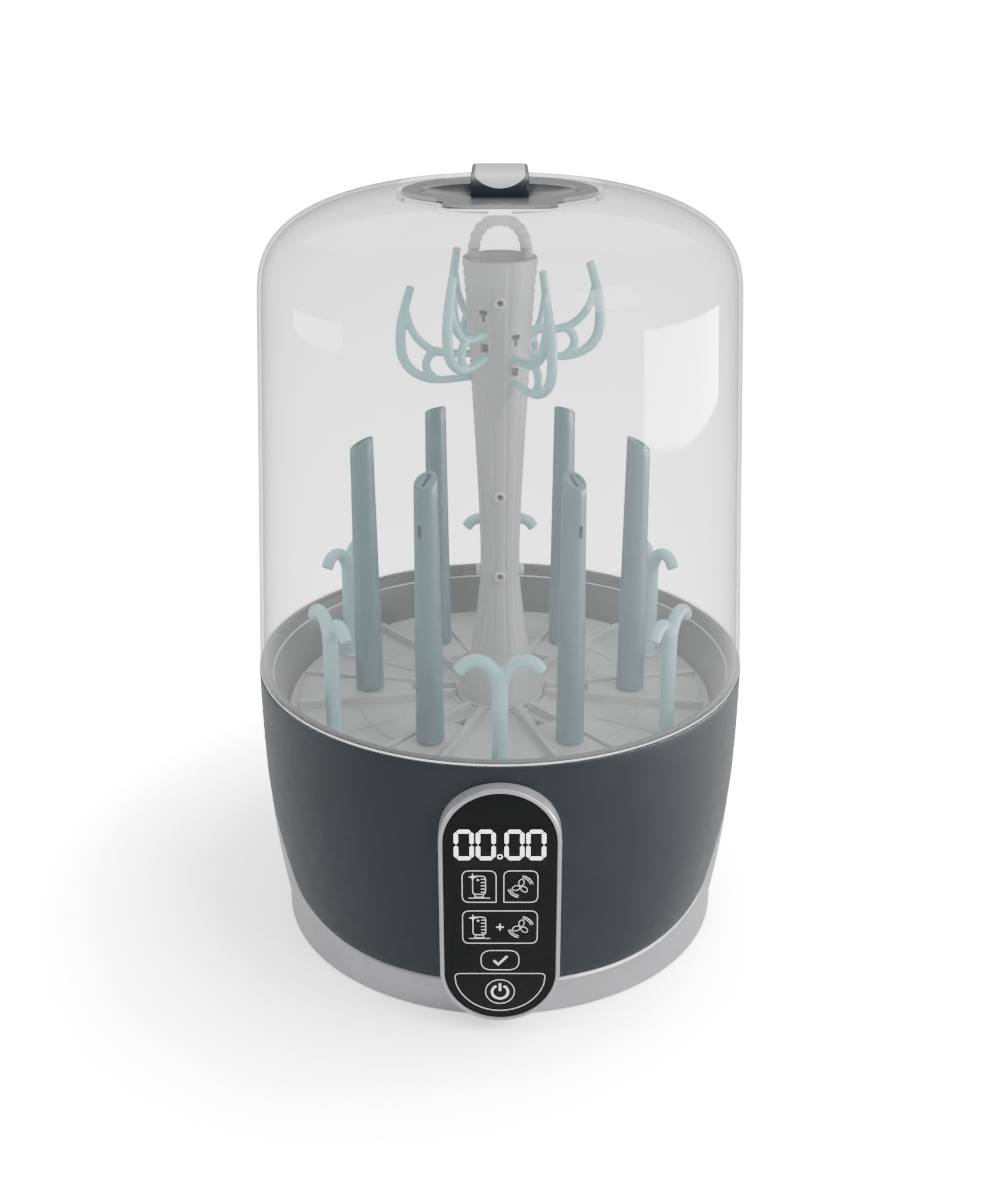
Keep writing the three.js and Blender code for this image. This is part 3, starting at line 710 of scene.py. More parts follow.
def face_plate(outline, front, back, edge=0.35):
    """A plate with a softly rounded front edge. outline(inset) gives its (x, z) points."""
    rows = [upright(outline(0), back), upright(outline(0), front + edge)]
    rows += [upright(outline(edge * 0.3), front + edge * 0.3), upright(outline(edge), front)]
    centre = upright(outline(edge), front).mean(0)
    rows.append(np.tile(centre, (len(rows[0]), 1)))
    rows.insert(0, np.tile(upright(outline(0), back).mean(0), (len(rows[1]), 1)))
    return grid(rows)


def rounded_rect(half_x, half_z, radius, x=0.0, z=0.0, steps=7):
    corners = [(x + a * half_x, z + b * half_z) for a, b in ((-1, -1), (1, -1), (1, 1), (-1, 1))]
    return np.array(rounded(corners, radius, steps, closed=True))


FACE_Y = -PANEL_FRONT + 0.5
DIGIT_Z = 113.9
MARK_Y = FACE_Y - 0.06
MARK_THICK = 0.12


def flat_marks(shapes):
    """Raised marks on the panel. Each shape is (points, faces) in x and z."""
    parts = []
    for points, faces in shapes:
        p = np.asarray(points, float)
        n = len(p)
        front = upright(p, MARK_Y)
        back = upright(p, MARK_Y + MARK_THICK)
        edges = {}
        for face in faces:
            for a, b in zip(face, face[1:] + face[:1]):
                edges[(a, b)] = edges.get((a, b), 0) + 1
        walls = [(a, b, b + n, a + n) for a, b in edges if (b, a) not in edges]
        backs = [tuple(i + n for i in face[::-1]) for face in faces]
        parts.append((np.vstack([front, back]), list(map(tuple, faces)) + backs + walls))
    return merged(*parts)


def solid_shape(points):
    return points, [tuple(range(len(points)))]


def line_shape(points, width, closed=False):
    """A stroke of even width along a polyline, with mitred corners."""
    p = np.asarray(points, float)
    n = len(p)
    back = np.roll(p, 1, 0)
    on = np.roll(p, -1, 0)
    if not closed:
        back[0] = 2 * p[0] - p[1]
        on[-1] = 2 * p[-1] - p[-2]
    a = (p - back) / np.linalg.norm(p - back, axis=1)[:, None]
    b = (on - p) / np.linalg.norm(on - p, axis=1)[:, None]
    along = a + b
    along /= np.linalg.norm(along, axis=1)[:, None]
    across = np.stack([-along[:, 1], along[:, 0]], 1)
    stretch = 1 / np.clip((across * np.stack([-a[:, 1], a[:, 0]], 1)).sum(1), 0.5, 1)
    off = across * (width / 2) * stretch[:, None]
    verts = np.vstack([p - off, p + off])
    faces = [(i, (i + 1) % n, (i + 1) % n + n, i + n) for i in range(n if closed else n - 1)]
    return verts, faces


def arc(x, z, radius, start, stop, count=24):
    t = np.radians(np.linspace(start, stop, count))
    return np.stack([x + radius * np.cos(t), z + radius * np.sin(t)], 1)


def digit_zero(x, z):
    """The six lit bars of a seven-bar zero."""
    thick = 2.0
    gap = 0.8
    cut = thick * 0.46
    shapes = []

    def bar(centre, length, upright_bar):
        h = thick / 2
        e = length / 2
        p = [(-e, 0), (-e + cut, -h), (e - cut, -h), (e, 0), (e - cut, h), (-e + cut, h)]
        if upright_bar:
            p = [(-b, a) for a, b in p]
        shapes.append(solid_shape([(centre[0] + a, centre[1] + b) for a, b in p]))

    inner_x = 4.85 - thick / 2
    inner_z = 8.6 - thick / 2
    for sign in (-1, 1):
        bar((x, z + sign * inner_z), 2 * inner_x - gap, False)
        bar((x + sign * inner_x, z + inner_z / 2), inner_z - gap, True)
        bar((x + sign * inner_x, z - inner_z / 2), inner_z - gap, True)
    return shapes


def bottle_icon(x, z):
    """A feeding bottle standing on a line, with a sparkle beside it."""
    thin = 0.32
    body = rounded_rect(3.2, 5.3, 1.8, x, z + 0.1, 6)
    shapes = [line_shape(body, thin, True)]
    neck = [(x - 1.9, z - 5.4), (x - 2.2, z - 6.9), (x + 2.2, z - 6.9), (x + 1.9, z - 5.4)]
    shapes.append(line_shape(neck, thin))
    shapes.append(line_shape([(x - 5.2, z - 7.4), (x + 5.4, z - 7.4)], thin * 0.8))
    for k in range(5):
        shapes.append(line_shape([(x + 0.9, z + 3.6 - 1.9 * k), (x + 3.0, z + 3.6 - 1.9 * k)], thin * 0.9))
    star = []
    for k in range(8):
        r = 2.2 if k % 2 == 0 else 0.6
        a = math.radians(45 * k + 90)
        star.append((x - 3.2 + r * math.cos(a), z + 4.9 + r * math.sin(a)))
    shapes.append(solid_shape(star))
    shapes.append(solid_shape(arc(x - 0.6, z + 3.2, 0.55, 0, 330, 12)))
    return shapes


def fan_icon(x, z):
    """Three fan blades between two pairs of moving-air arcs."""
    shapes = []
    for k in range(3):
        a = math.radians(80 + 120 * k)
        cx, cz = x + 2.35 * math.cos(a), z + 2.35 * math.sin(a)
        t = angles(20)
        p = np.stack([1.95 * np.cos(t), 1.35 * np.sin(t)], 1)
        c, s = math.cos(a), math.sin(a)
        p = np.stack([cx + c * p[:, 0] - s * p[:, 1], cz + s * p[:, 0] + c * p[:, 1]], 1)
        shapes.append(line_shape(p, 0.24, True))
    for r, wide in ((5.2, 0.24), (6.3, 0.4)):
        shapes.append(line_shape(arc(x, z, r, 15, 80), wide))
        shapes.append(line_shape(arc(x, z, r, 195, 260), wide))
    return shapes


def build_panel():
    def face(inset):
        return stadium(FACE_HALF - inset, low("touch_panel") + inset, high("touch_panel") - inset)

    plate = face_plate(face, FACE_Y, FACE_Y + 2.2)
    pocket = box_mesh((-24.8, FACE_Y - 1, 100.7), (24.8, FACE_Y + 1.3, 125.3))
    plate = carved(plate, pocket)
    piece("touch_panel_skin", plate, FACE, "base", "panel_black", "touch_panel", sharp=30)

    def window(inset):
        return rounded_rect(24.76 - inset, 12.26 - inset, 0.3, 0.0, 113.0)

    piece("display_window_skin", face_plate(window, FACE_Y, FACE_Y + 1, 0.1), WINDOW, "base", "panel_black",
          "display_window", sharp=30)
    digits = []
    for x in (-17.8, -6.95, 7.1, 17.8):
        digits += digit_zero(x, DIGIT_Z)
    dot = [line_shape(arc(0, 107.2, 1.15, 0, 345, 24), 0.42, True)]
    piece("display_digits", flat_marks(digits + dot), LIT, "base", "inlay_grey", sharp=20)
    thin = 0.3
    left = [(-18.8, 99), (-18.8, 80.6), (-1.9, 80.6), (-1.9, 99)]
    right = [(1.9, 99), (1.9, 80.6), (18.8, 80.6), (18.8, 99)]
    frames = [
        rounded(left, [3.6, 3.6, 0.3, 3.6], 7, True),
        rounded(right, [3.6, 0.3, 3.6, 3.6], 7, True),
        rounded_rect(18.8, 9.7, 3.6, 0, 65.8),
        rounded_rect(9.6, 5.9, 5.6, 0, 45.8, 12),
        arc(0, 26.4, 7.4, 0, 355, 72),
    ]
    marks = [line_shape(frame_line, thin, True) for frame_line in frames]
    power, tick, plus = 1.15, 1.0, 0.7
    marks.append(line_shape(arc(0, 26.2, 4.1, 118, 422, 40), power))
    marks.append(line_shape([(0, 26.8), (0, 31.4)], power))
    marks.append(line_shape([(-3.2, 45.6), (-0.9, 43.2), (3.6, 48.2)], tick))
    marks.append(line_shape([(-1.9, 65.8), (1.9, 65.8)], plus))
    marks += [line_shape([(0, z), (0, z + 1.5)], plus) for z in (63.9, 66.2)]
    moon = list(arc(0, 38.0, 23.4, 196, 344, 60)) + [(23.2, 37.6), (-23.2, 37.6)]
    marks.append(line_shape(rounded(moon, [0.4] + [0] * 58 + [0.4, 3.4, 3.4], 7, True), thin, True))
    for x, z in ((-10.4, 90.5), (-10.4, 66.4)):
        marks += bottle_icon(x, z)
    for x, z in ((10.2, 89.8), (10.4, 65.8)):
        marks += fan_icon(x, z)
    piece("key_marks", flat_marks(marks), LINES, "base", "inlay_grey", sharp=20)


# ------------------------------------------------------------ drying rack
def radial_bar(inner, outer, half, bottom, top, edge=0.9):
    """A bar with round ends lying along +X, its top edges rounded."""
    def outline(inset):
        h = half - inset
        a = np.linspace(-math.pi / 2, math.pi / 2, 12)
        far = np.stack([outer - half + h * np.cos(a), h * np.sin(a)], 1)
        near = np.stack([inner + half - h * np.cos(a), -h * np.sin(a)], 1)
        return np.vstack([far, near])

    rows = []
    for inset, z in ((0, bottom), (0, top - edge), (edge * 0.3, top - edge * 0.3), (edge, top)):
        rows.append(level(outline(inset), z))
    middle = level(outline(edge * 1.9), top)
    rows.append(middle)
    spine = middle.copy()
    spine[:, 1] = 0
    rows.append(spine)
    rows.insert(0, level(outline(half * 0.95), bottom))
    return grid(rows)


def wedge_pad(bottom, top):
    """A raised pad that widens outwards, its top edge rounded."""
    edge = 0.8
    corners = [(50, -7.5), (112.5, -15.5), (113.6, 0), (112.5, 15.5), (50, 7.5)]
    outline = np.array(rounded(corners, [2, 2.5, 0, 2.5, 2], 6, True))
    centre = outline.mean(0)

    def ring(inset, z):
        away = outline - centre
        size = np.linalg.norm(away, axis=1)[:, None]
        return level(outline - away / size * inset, z)

    rows = [ring(0, bottom), ring(0, top - edge), ring(edge * 0.3, top - edge * 0.3), ring(edge, top)]
    rows.append(np.tile([*centre, top], (len(outline), 1)))
    rows.insert(0, np.tile([*centre, bottom], (len(outline), 1)))
    return grid(rows)


def build_tray():
    profile = [(15.2, TRAY_LOW), (TRAY_R, TRAY_LOW), (TRAY_R, TRAY_TOP), (27.6, TRAY_TOP), (27.2, 129.3)]
    profile += [(25.2, 129.3), (25.0, 125.0), (15.2, 125.0)]
    plate = lathe(rounded(profile, [0.4, 1, 1.4, 0.6, 0.5, 0.5, 0.3, 0.3], 5, True), 192, along=True)
    hole = np.array([(36.5, 0), (48, -4), (48, 4)], float)
    tool = capped([level(hole, z) for z in (TRAY_LOW - 2, TRAY_TOP + 3)])
    plate = carved(plate, merged(*[turned(tool, 60 * i) for i in range(6)]))
    bead = [(80.6, TRAY_TOP - 0.4), (80.6, 128.5), (79.9, 128.9), (79.2, 128.5), (79.2, TRAY_TOP - 0.4)]
    extras = [lathe(rounded(bead, 0.3, 4, True), 160, along=True)]
    for i in range(6):
        extras.append(turned(wedge_pad(TRAY_TOP - 0.6, PAD_TOP), 60 * i))
        for side in (-10, 10):
            extras.append(turned(radial_bar(26, 115, 2, TRAY_TOP - 0.6, RIB_TOP), 60 * i + side))
        extras.append(turned(radial_bar(60, 112, 1.1, TRAY_TOP - 0.6, 128.9, 0.4), 60 * i + 30))
    tray = joined(plate, merged(*extras))
    piece("rack_tray_skin", tray, PALE, "tray", "pale_rack", "rack_tray")


def build_tubes():
    bottom = PAD_TOP + 0.3
    count = 64
    t = angles(count)
    rows = []

    def oval(r, inset, z):
        height = np.broadcast_to(z, t.shape)
        return np.stack([(r - inset) * np.cos(t), (r * TUBE_FLAT - inset) * np.sin(t), height], 1)

    def radius(z):
        return 7.9 - 1.6 * (z - bottom) / (TUBE_TIP - bottom)

    for inset, lift in ((7.0, 0), (1.4, 0), (0.5, 0.35), (0.1, 1.0), (0, 1.8)):
        rows.append(oval(7.9, inset, bottom + lift))
    for z in np.linspace(bottom + 4, TUBE_TIP - 12, 14):
        rows.append(oval(radius(z), 0, z))
    tip = radius(TUBE_TIP)
    slant = TUBE_TIP - 4 - TIP_SLOPE * tip * np.cos(t)
    for inset, drop in ((0, 0.9), (0.25, 0.28), (0.8, 0.0), (1.9, 0.0), (2.2, 0.3)):
        rows.append(oval(tip, inset, slant + inset * TIP_SLOPE * np.cos(t) - drop))
    rows.append(oval(tip - 2.4, 0, slant + 2.4 * TIP_SLOPE * np.cos(t) - 1.0))
    rows.append(oval(0.4, 0, np.full(count, TUBE_TIP - 5.2)))
    tube = grid(rows)
    slot_top = box_mesh((-4.6, -1.05, TUBE_TIP - 20), (3.4, 1.05, TUBE_TIP + 10))
    side = rounded_rect(1.2, 3.4, 1.15, 0, TUBE_TIP - 29.5)
    slot_side = capped([[(x, a, b) for a, b in side] for x in (2.0, 12.0)])
    mesh = carved(tube, merged(slot_top, slot_side))
    six("drying_tube", mesh, TEAL, "tray", "teal_plastic", reach=TUBE_CIRCLE)


def build_hooks():
    bottom = TRAY_TOP + 0.3
    stem = sweep([(0, 0, z) for z in np.linspace(bottom + 4.1, 189, 12)], 4.15, 20)
    parts = [stem, lathe([(0, bottom), (5.4, bottom), (4.3, bottom + 2.2), (0, bottom + 2.2)], 32)]
    top = HOOK_TOP - 3.5
    for side in (-1, 1):
        line = [(0, 182 - top), (2.0, -8.5), (6.0, -2.2), (12, 0), (17.2, -1.6), (20.6, -5.6)]
        path = [(0, side * a, top + b) for a, b in catmull(line, 8)]
        parts.append(sweep(path, np.linspace(3.6, 3.45, len(path)), 18, side_axis=(1, 0, 0), blunt=True))
    mesh = fused(merged(*parts), 0.55)
    six("bottle_hook", mesh, MINT, "tray", "mint_plastic", first=30, reach=HOOK_CIRCLE)


# ------------------------------------------------------------ column and arms
COLUMN_FOOT = [(24.4, 131), (17.5, 151.7), (12.2, 185.5)]
COLUMN_WAIST = [(10.8, 209.4), (11.6, 244), (14.5, 300), (17.5, 353)]
COLUMN = catmull(COLUMN_FOOT + COLUMN_WAIST + [(19.4, COLUMN_TOP)], 12)
NOZZLES = (204, 250, 355)


def column_r(z):
    return float(np.interp(z, COLUMN[:, 1], COLUMN[:, 0]))


def build_column():
    count = 192
    t = angles(count)
    flute = (0.5 * (1 + np.cos(12 * t + math.pi))) ** 6
    sides = np.clip(np.abs(np.cos(t)) * 2.2 - 1.3, 0, 1)
    foot = [(9.5, 118), (14.2, 118), (14.6, 118.5), (14.6, 125.3)]
    foot += [(23.8, 125.3), (24.4, 125.9), (24.4, 130.2), (24.2, 130.8), (23.6, 131.2)]
    rows = [ring_row(r, z, count) for r, z in foot]
    for z in np.linspace(134, COLUMN_TOP - 1.2, 150):
        r = column_r(z)
        rise = np.clip((z - 136) / 12, 0, 1)
        wave = np.clip((z - 296) / 10, 0, 1) * 0.42 * math.sin((z - 300) * 2 * math.pi / 4.7)
        rows.append(ring_row(r - 0.45 * rise * flute + wave * sides, z, count))
    lip = column_r(COLUMN_TOP)
    for inset, drop in ((0.1, 0.5), (0.5, 0), (1.4, 0), (1.7, 0.4), (1.8, 2), (3, 5.7)):
        rows.append(ring_row(lip - inset, COLUMN_TOP - drop, count))
    rows.append(ring_row(9.5, COLUMN_TOP - 5.9, count))
    for z in (COLUMN_TOP - 7, 330, 300, 240, 200, 150):
        rows.append(ring_row(min(9.5, column_r(z) - 4.5), z, count))
    body = grid(rows, along=True)
    slots = []
    stems = []
    for i in range(6):
        lift = 0 if i % 2 == 0 else -ARM_STEP
        square = box_mesh((11, -2.3, 331 + lift - 2.3), (25, 2.3, 331 + lift + 2.3))
        bar = box_mesh((11, -2.4, 349.4 + lift - 1.3), (25, 2.4, 349.4 + lift + 1.3))
        stem = box_mesh((11, -0.95, 344.6 + lift), (25, 0.95, 348.4 + lift))
        slots += [turned(square, 60 * i), turned(bar, 60 * i)]
        stems.append(turned(stem, 60 * i))
    bores = []
    rings = []
    for z in NOZZLES:
        r = column_r(z)
        for k in range(4) if z == NOZZLES[0] else (1, 3):
            hole = pointing(rod(1.6, r - 5, r + 3, 20), "X")
            bores.append(turned(moved(hole, z=z), 90 * k))
            boss = [(1.6, -1.5), (1.6, 1.5), (2.0, 2.1), (2.4, 2.1), (3.25, 1.0), (3.3, -1.5)]
            ring = pointing(lathe([(a, r + b) for a, b in boss], 32, along=True), "X")
            rings.append(turned(moved(ring, z=z), 90 * k))
    mesh = joined(carved(body, merged(*slots), merged(*stems), merged(*bores)), merged(*rings))
    column = piece("rack_column_skin", mesh, PALE, "column", "pale_rack", "rack_column")
    # The proud rings round the nozzle holes are painted lighter than the column as a highlight.
    repaint(column, BOSS_PAINTED_HIGHLIGHT, lambda x, y, z: z > 140 and math.hypot(x, y) > column_r(z) + 0.6)


def build_loop():
    half = [(13.6, 370.2), (13.5, 378), (11.4, 386.3), (6.5, 391.8), (0, 393.4)]
    line = [(-x, z) for x, z in half] + [(x, z) for x, z in half[-2::-1]]
    path = catmull(line, 16)
    radius = 3.05 + 0.28 * np.sin(run_along(path) * 2 * math.pi / 4.6)
    loop = sweep([(x, 0, z) for x, z in path], radius, 20)
    piece("rack_loop_skin", loop, PALE, "column", "pale_rack", "rack_loop_handle")


def build_arms():
    def bar(line, radius):
        path = [(r, 0, z) for r, z in catmull(line, 8)]
        if np.isscalar(radius):
            return sweep(path, radius, 16)
        stops = np.linspace(0, 1, len(radius))
        return sweep(path, np.interp(np.linspace(0, 1, len(path)), stops, radius), 16, blunt=True)

    outer = [(15.5, 325.2), (30, 323.6), (39, 324.6), (46.6, 329), (50.8, 336), (51.6, 346)]
    outer += [(50.2, 357), (45.8, 372.4)]
    inner = [(15.8, 337.6), (27, 337.8), (34.6, 339), (41.6, 344), (46.2, 351), (48.8, 360)]
    strut = [(33, 339), (36.6, 336.6), (38.6, 332), (37.6, 327.6), (34.4, 324.4)]
    shape = merged(
        bar(outer, [2.1, 2.1, 2.25, 2.55, 2.75, 2.8, 2.7, 2.5, 2.2]),
        bar(inner, [2.2, 2.2, 2.2, 2.1, 2.1]),
        bar(strut, 2.25),
    )
    six("rack_arm", fused(shape, 0.4), MINT, "column", "mint_plastic", drop=ARM_STEP)


# ------------------------------------------------------------ lid
def cap_outline(grow, count):
    """The radius of the cap's outline at each angle: a circle with a wide rounded tab at the front."""
    t = angles(count)
    c, s = np.cos(t), np.sin(t)
    half = CAP_TAB_HALF + grow
    front = CAP_FRONT + grow
    corner = 8.0
    side = half / np.maximum(np.abs(c), 1e-6)
    ahead = front / np.maximum(-s, 1e-6)
    reach = np.where(s < 0, np.minimum(side, ahead), 0.0)
    kx = half - corner
    ky = front - corner
    along = np.abs(c) * kx - s * ky
    gap = along**2 - (kx**2 + ky**2 - corner**2)
    arc_reach = along + np.sqrt(np.maximum(gap, 0))
    x, y = reach * np.abs(c), -reach * s
    in_corner = (x > kx) & (y > ky) & (s < 0)
    reach = np.where(in_corner, arc_reach, reach)
    return np.maximum(CAP_R + grow, reach)


def dome_profile(inset):
    z = list(np.linspace(DOME_LOW, SHOULDER_Z, 14))
    r = [DOME_R - DOME_TAPER * (h - DOME_LOW) - inset for h in z]
    rise = CROWN_Z - inset - SHOULDER_Z
    for a in np.linspace(0, math.pi / 2, 60)[1:]:
        h = SHOULDER_Z + rise * math.sin(a) ** 0.66
        z.append(h)
        r.append(max(0.0, (DOME_R - DOME_TAPER * (h - DOME_LOW) - inset) * max(0.0, math.cos(a)) ** 0.83))
    return np.array(r), np.array(z)


def build_dome():
    count = 256
    ring_at = 68.0
    hole = cap_outline(0.4, count)
    collar = cap_outline(2.6, count)

    def skin(inset, inner_edge):
        r, z = dome_profile(inset)
        keep = r > ring_at
        rows = [ring_row(a, b, count) for a, b in zip(r[keep], z[keep])]
        for s in np.linspace(0, 1, 8):
            reach = ring_at + (inner_edge - ring_at) * s
            rows.append(ring_row(reach, np.interp(reach, r[::-1], z[::-1]), count))
        return rows

    foot = [(DOME_R - 0.4, DOME_LOW), (DOME_R, DOME_LOW + 0.4), (DOME_R, DOME_LOW + FOOT_LINE)]
    top = CAP_TOP - 0.9
    rim = [(collar - 0.1, top - 0.3), (collar - 0.5, top), (hole + 0.6, top), (hole + 0.15, top - 0.3)]
    rim += [(hole, top - 0.9), (hole, 404.6), (collar - 0.4, 404.4)]
    rows = [ring_row(r, z, count) for r, z in foot] + skin(0.0, collar + 0.6)[1:]
    rows += [ring_row(r, z, count) for r, z in rim]
    rows += skin(DOME_WALL, collar + 0.4)[::-1]
    dome = grid(rows, along=True)
    t = angles(count)

    # Faces that get the painted highlight: a bright broken line round the lid's foot and a white ring round
    # the collar.
    def painted_highlight_faces(x, y, z):
        reach = math.hypot(x, y)
        if z < DOME_LOW + FOOT_LINE:
            return reach > DOME_R - 0.5
        return z > top - 1 and reach < np.interp(math.atan2(y, x), t, collar, period=2 * math.pi)

    shell = piece("dome_shell", dome, CLEAR, "lid", "clear_lid", "dome", sharp=55)
    repaint(shell, CLEAR_PAINTED_HIGHLIGHT, painted_highlight_faces)
    # The collar tab also wears the painted-highlight material.
    tab = bevelled(box_mesh((-5.4, -61.5, 405.2), (5.4, -60.2, 407.1)), 0.3)
    piece("collar_tab", tab, CLEAR_PAINTED_HIGHLIGHT, "lid", "clear_lid")
    clips = []
    for side in (-1, 1):
        clips.append(box_mesh((side * 48.5 - 0.8, -4.5, 402.8), (side * 48.5 + 0.8, -1.5, 406.2)))
    piece("cap_clips", bevelled(merged(*clips), 0.35), CAP, "lid", "cap_grey")


def build_cap():
    count = 256
    t = angles(count)

    def oval(a, b):
        return a * b / np.sqrt((b * np.cos(t)) ** 2 + (a * np.sin(t)) ** 2)

    wide, deep = WELL
    rim = cap_outline(0.0, count)
    base = CAP_TOP - 2.4
    top = CAP_TOP
    well = [(18, 9, 400.5), (24.6, 13.4, 400.6), (26.2, 14.6, 401.2), (34.0, 19.4, 404.2)]
    well += [(38.6, 22.0, 406.4), (39.6, 22.7, top - 0.8), (40.2, 23.1, top - 0.2), (41.2, 23.9, top)]
    brim = [(oval(41.2, 23.9) * (1 - s) + (rim - 0.4) * s, top) for s in (0.35, 0.7)]
    brim += [(rim - 0.4, top), (rim - 0.1, top - 0.1), (rim, top - 0.4)]
    brim += [(rim, base + 0.3), (rim - 0.3, base)]
    below = [(oval(wide + 1.8, deep + 1.2), base), (oval(27.5, 16), 398.6), (0.0, 398.6)]
    outline = [(0.0, 400.5)] + [(oval(a, b), z) for a, b, z in well] + brim + below
    dish = grid([ring_row(r, z, count) for r, z in outline])
    piece("cap_dish_skin", dish, CAP, "lid", "cap_grey", "cap_dish")


def arch_points(drop, count):
    """The handle's arch in the plane of Y and Z, as points."""
    foot = CAP_TOP - 0.2
    rise = HANDLE_TOP - drop - foot
    reach = HANDLE_REACH - drop
    a = np.linspace(0, math.pi, count)
    c = np.cos(a)
    y = reach * np.sign(c) * np.abs(c) ** 0.75
    z = foot + rise * np.sin(a) ** 0.55
    z[0] = z[-1] = foot
    return np.stack([y, z], 1)


def build_handle():
    count = 72
    over = arch_points(0.0, count)
    under = arch_points(4.2, count)
    half = HANDLE_HALF
    rows = []
    edge = 1.1
    for o, u in zip(over, under):
        way = (o - u) / np.linalg.norm(o - u)
        ring = []
        for x, deep in ((half, 0), (-half, 0), (-half, 1), (half, 1)):
            sign_x = 1 if x > 0 else -1
            order = ROUND_EDGE if (x > 0) == (deep == 1) else ROUND_EDGE[::-1]
            for dx, dd in order:
                point = (o - way * edge * dd) if deep == 0 else (u + way * edge * dd)
                ring.append((x - sign_x * edge * dx, point[0], point[1]))
        rows.append(ring)
    piece("lid_handle_skin", capped(rows), HANDLE, "lid", "handle_slate", "lid_handle", sharp=50)


def build_inlay():
    """A strip let into the handle's top, with a half-round end low on the front and on the back."""
    arch = arch_points(0.0, 400)
    run = run_along(arch)
    middle = run[-1] / 2
    across = np.linspace(-1, 1, 41)
    half = 12.2
    straight = middle - 13.5
    outer, inner = [], []
    for s in np.linspace(-1, 1, 73):
        top_row, low_row = [], []
        for u in across:
            ends = straight + 9.0 * math.sqrt(max(0.0, 1 - u * u))
            at = middle + s * ends
            y = np.interp(at, run, arch[:, 0])
            z = np.interp(at, run, arch[:, 1])
            (y0, y1), (z0, z1) = (np.interp((at - 0.5, at + 0.5), run, arch[:, k]) for k in (0, 1))
            dy, dz = y1 - y0, z1 - z0
            size = math.hypot(dy, dz)
            ny, nz = dz / size, -dy / size
            if ny * y + nz * (z - CAP_TOP) < 0:
                ny, nz = -ny, -nz
            edge = max(abs(u), abs(s))
            lift = 0.28 if edge < 0.97 else 0.05
            top_row.append((u * half, y + ny * lift, z + nz * lift))
            low_row.append((u * half, y - ny * 0.6, z - nz * 0.6))
        outer.append(top_row)
        inner.append(low_row)
    v1, f1 = grid(outer, around=False)
    v2, f2 = grid(inner, around=False)
    m, n = len(outer), len(across)
    rim = [i for i in range(n)] + [i * n + n - 1 for i in range(1, m)]
    rim += [(m - 1) * n + i for i in range(n - 2, -1, -1)] + [i * n for i in range(m - 2, 0, -1)]
    walls = [(a, b, b + m * n, a + m * n) for a, b in zip(rim, rim[1:] + rim[:1])]
    whole = (np.vstack([v1, v2]), f1 + [tuple(i + m * n for i in f[::-1]) for f in f2] + walls)
    piece("handle_inlay_skin", whole, INLAY, "lid", "inlay_grey", "handle_inlay")


# ------------------------------------------------------------ rear and inner pieces
def build_filter():
    disc = [(0, 125.5), (22.6, 125.5), (23, 126), (23, 133.7), (26.4, 133.7), (27, 134.3), (27, 135.4)]
    disc += [(26, 136), (6, 136.6), (0, 136.6)]
    plug = lathe(rounded(disc, [0, 0.3, 0.3, 0.2, 0.3, 0.3, 0.4, 0.4, 0, 0], 4), 96)
    tools = []
    for z in range(-16, 17, 4):
        wide = math.sqrt(20.5**2 - z * z)
        for side in (-1, 1):
            x0, x1 = sorted((side * 6.2, side * wide))
            tools.append(box_mesh((x0, 120, FILTER_Z + z - 1.1), (x1, 145, FILTER_Z + z + 1.1)))
    cover = carved(on_filter_axis(plug), merged(*tools))
    grip = bevelled(box_mesh((-3.4, 135.5, FILTER_Z - 17), (3.4, 139.9, FILTER_Z + 17)), 1.4, 4)
    piece("filter_cover_skin", joined(cover, grip), SLATE, "filter", "slate_shell", "filter_cover")
    pad = lathe([(0, 112.2), (20.6, 112.2), (21.4, 112.9), (21.4, 123.6), (20.6, 124.3), (0, 124.3)], 240)
    piece("air_filter_skin", on_filter_axis(pad), PAPER, "filter", "filter_paper", "air_filter")


def finish_cad(name, material, bevel):
    """A CAD node that stays, with its material and softly rounded edges."""
    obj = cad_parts[name]
    obj.data.materials.clear()
    obj.data.materials.append(material)
    bevel_edges(obj, bevel, 2, 40)


def build_inner():
    plate = lathe(rounded([(0, 86.8), (60, 86.8), (60, 87.6), (57, 88.4), (0, 88.4)], 0.4), 128)
    piece("heating_plate_skin", plate, STEEL, "base", "steel", "heating_plate")
    kept = (
        (STEEL, 0.15, [f"cover_screw_{i + 1}" for i in range(4)]),
        (STEEL, 0.3, ("heater_element", "fan_motor")),
        (BOARD, 0.2, ("control_board", "power_board")),
        (CERAMIC, 0.3, ("thermostat", "air_heater")),
        (INNER, 0.3, ("fan_housing", "air_duct", "intake_duct", "fan_impeller")),
        (RUBBER, 0.8, ("power_inlet",)),
    )
    for material, bevel, names in kept:
        for name in names:
            finish_cad(name, material, bevel)


# ------------------------------------------------------------ stage, light and camera
def area_light(name, place, aim, size, power):
    data = bpy.data.lights.new(name, "AREA")
    data.shape = "RECTANGLE"
    data.size, data.size_y = size
    data.energy = power
    obj = linked(name, data)
    obj.location = place
    obj.visible_camera = False
    obj.rotation_euler = (Vector(aim) - Vector(place)).to_track_quat("-Z", "Y").to_euler()
    return obj


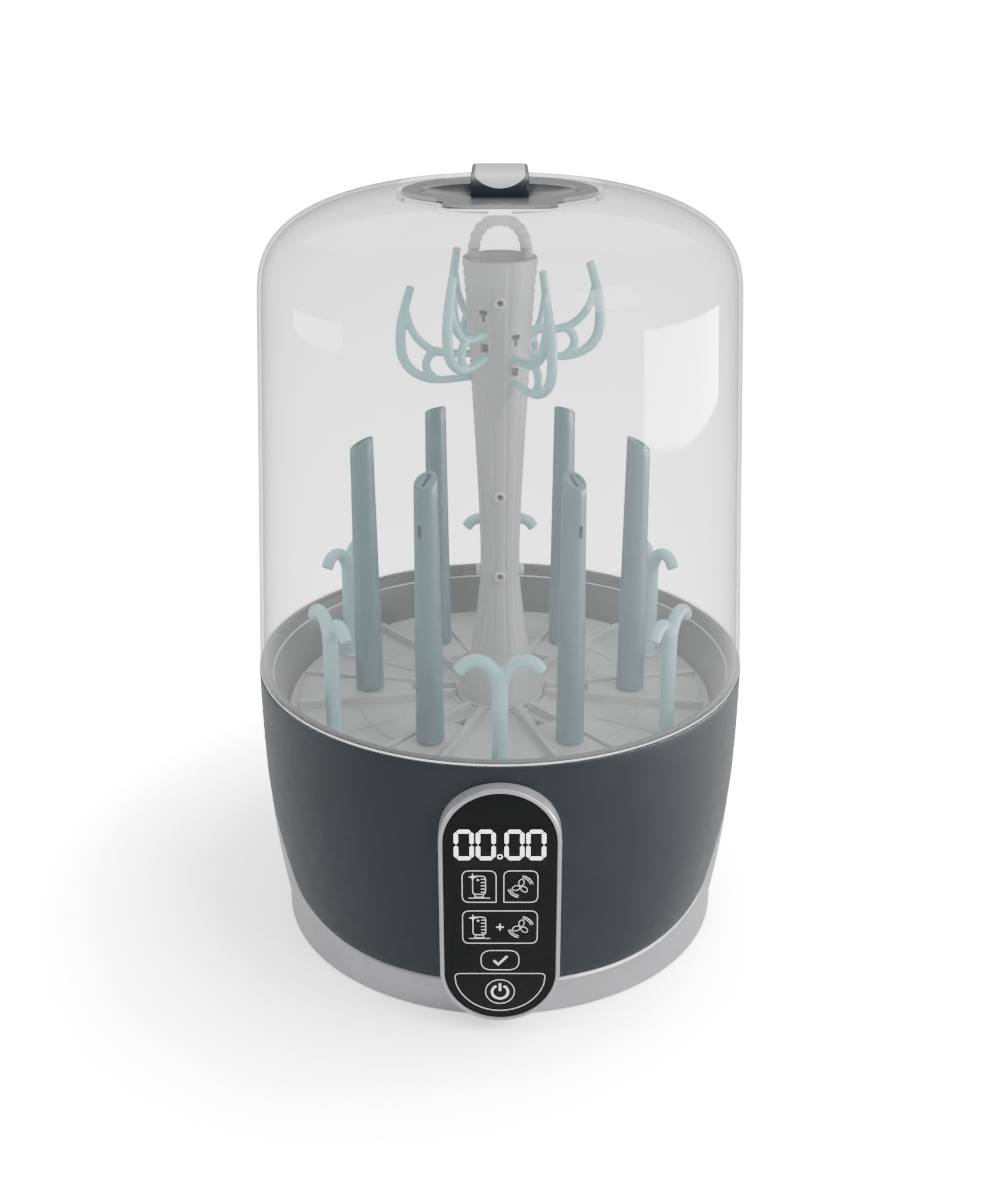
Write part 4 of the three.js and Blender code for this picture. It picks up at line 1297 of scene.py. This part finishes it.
def build_stage():
    floor = add_object("floor", box_mesh((-30000, -30000, -20), (30000, 30000, 0)))
    m = surface("studio_floor")
    paint = m.vary(m.noise(2), (0.86, 0.86, 0.86), (0.88, 0.88, 0.88))
    m.set(m.shader, Base_Color=paint, Roughness=0.7, Specular_IOR_Level=0.0)
    path = m.add("LightPath")
    # Painted shadow: an ambient-occlusion node, leant towards the key light, darkens the floor's colour near
    # the object on top of its real shadows.
    x, y, z = SHADOW_LEAN
    lean = m.add("CombineXYZ", X=x, Y=y, Z=z)
    near = m.add("AmbientOcclusion", Distance=SHADOW_REACH, Normal=lean.outputs["Vector"])
    deep = m.span(m.maths("POWER", near.outputs["AO"], SHADOW_DEPTH), SHADOW_FLOOR, 1.0)
    behind = m.span(path.outputs["Transparent Depth"], FLOOR_GAIN, FLOOR_THROUGH_LID)
    seen = m.add("BsdfDiffuse", Color=m.maths("MULTIPLY", behind, deep, clamp=False))
    m.show(m.mix(path.outputs["Is Camera Ray"], m.shader.outputs["BSDF"], seen.outputs["BSDF"]))
    floor.data.materials.append(m.owner)
    world = bpy.data.worlds.new("studio")
    bpy.context.scene.world = world
    w = Nodes(world, "Background")
    path = w.add("LightPath")
    through = w.span(path.outputs["Transparent Depth"], BACKDROP, BACKDROP_THROUGH_LID)
    light = w.span(path.outputs["Is Camera Ray"], WORLD_LIGHT, through)
    w.set(w.shader, Color=(1, 1, 1, 1), Strength=light)
    area_light("top_box", (0, -0.25, 1.9), (0, 0, 0.2), (1.6, 1.6), 9)
    area_light("key_box", (1.2, -0.9, 1.1), (0, 0, 0.2), (0.8, 0.8), 21)
    crown = area_light("crown_box", (0, 0.9, 1.5), (0, 0, 0.4), (2.2, 1.0), 26)
    crown.visible_diffuse = False
    right = area_light("right_box", (1.0, -0.015, 0.17), (0, -0.015, 0.17), (0.93, 0.165), 28)
    right.visible_diffuse = False
    area_light("left_box", (-1.0, -0.055, 0.24), (0, -0.055, 0.24), (0.57, 0.085), 3)


def build_camera():
    data = bpy.data.cameras.new("camera")
    data.sensor_width = CAMERA_SENSOR
    data.lens = CAMERA_LENS
    camera = linked("camera", data)
    camera.location = CAMERA_PLACE
    camera.rotation_euler = (math.pi / 2 - CAMERA_DOWN, 0, 0)
    bpy.context.scene.camera = camera


build_camera()
build_base()
build_bezel()
build_panel()
build_tray()
build_tubes()
build_hooks()
build_column()
build_loop()
build_arms()
build_dome()
build_cap()
build_handle()
build_inlay()
build_filter()
build_inner()
build_stage()
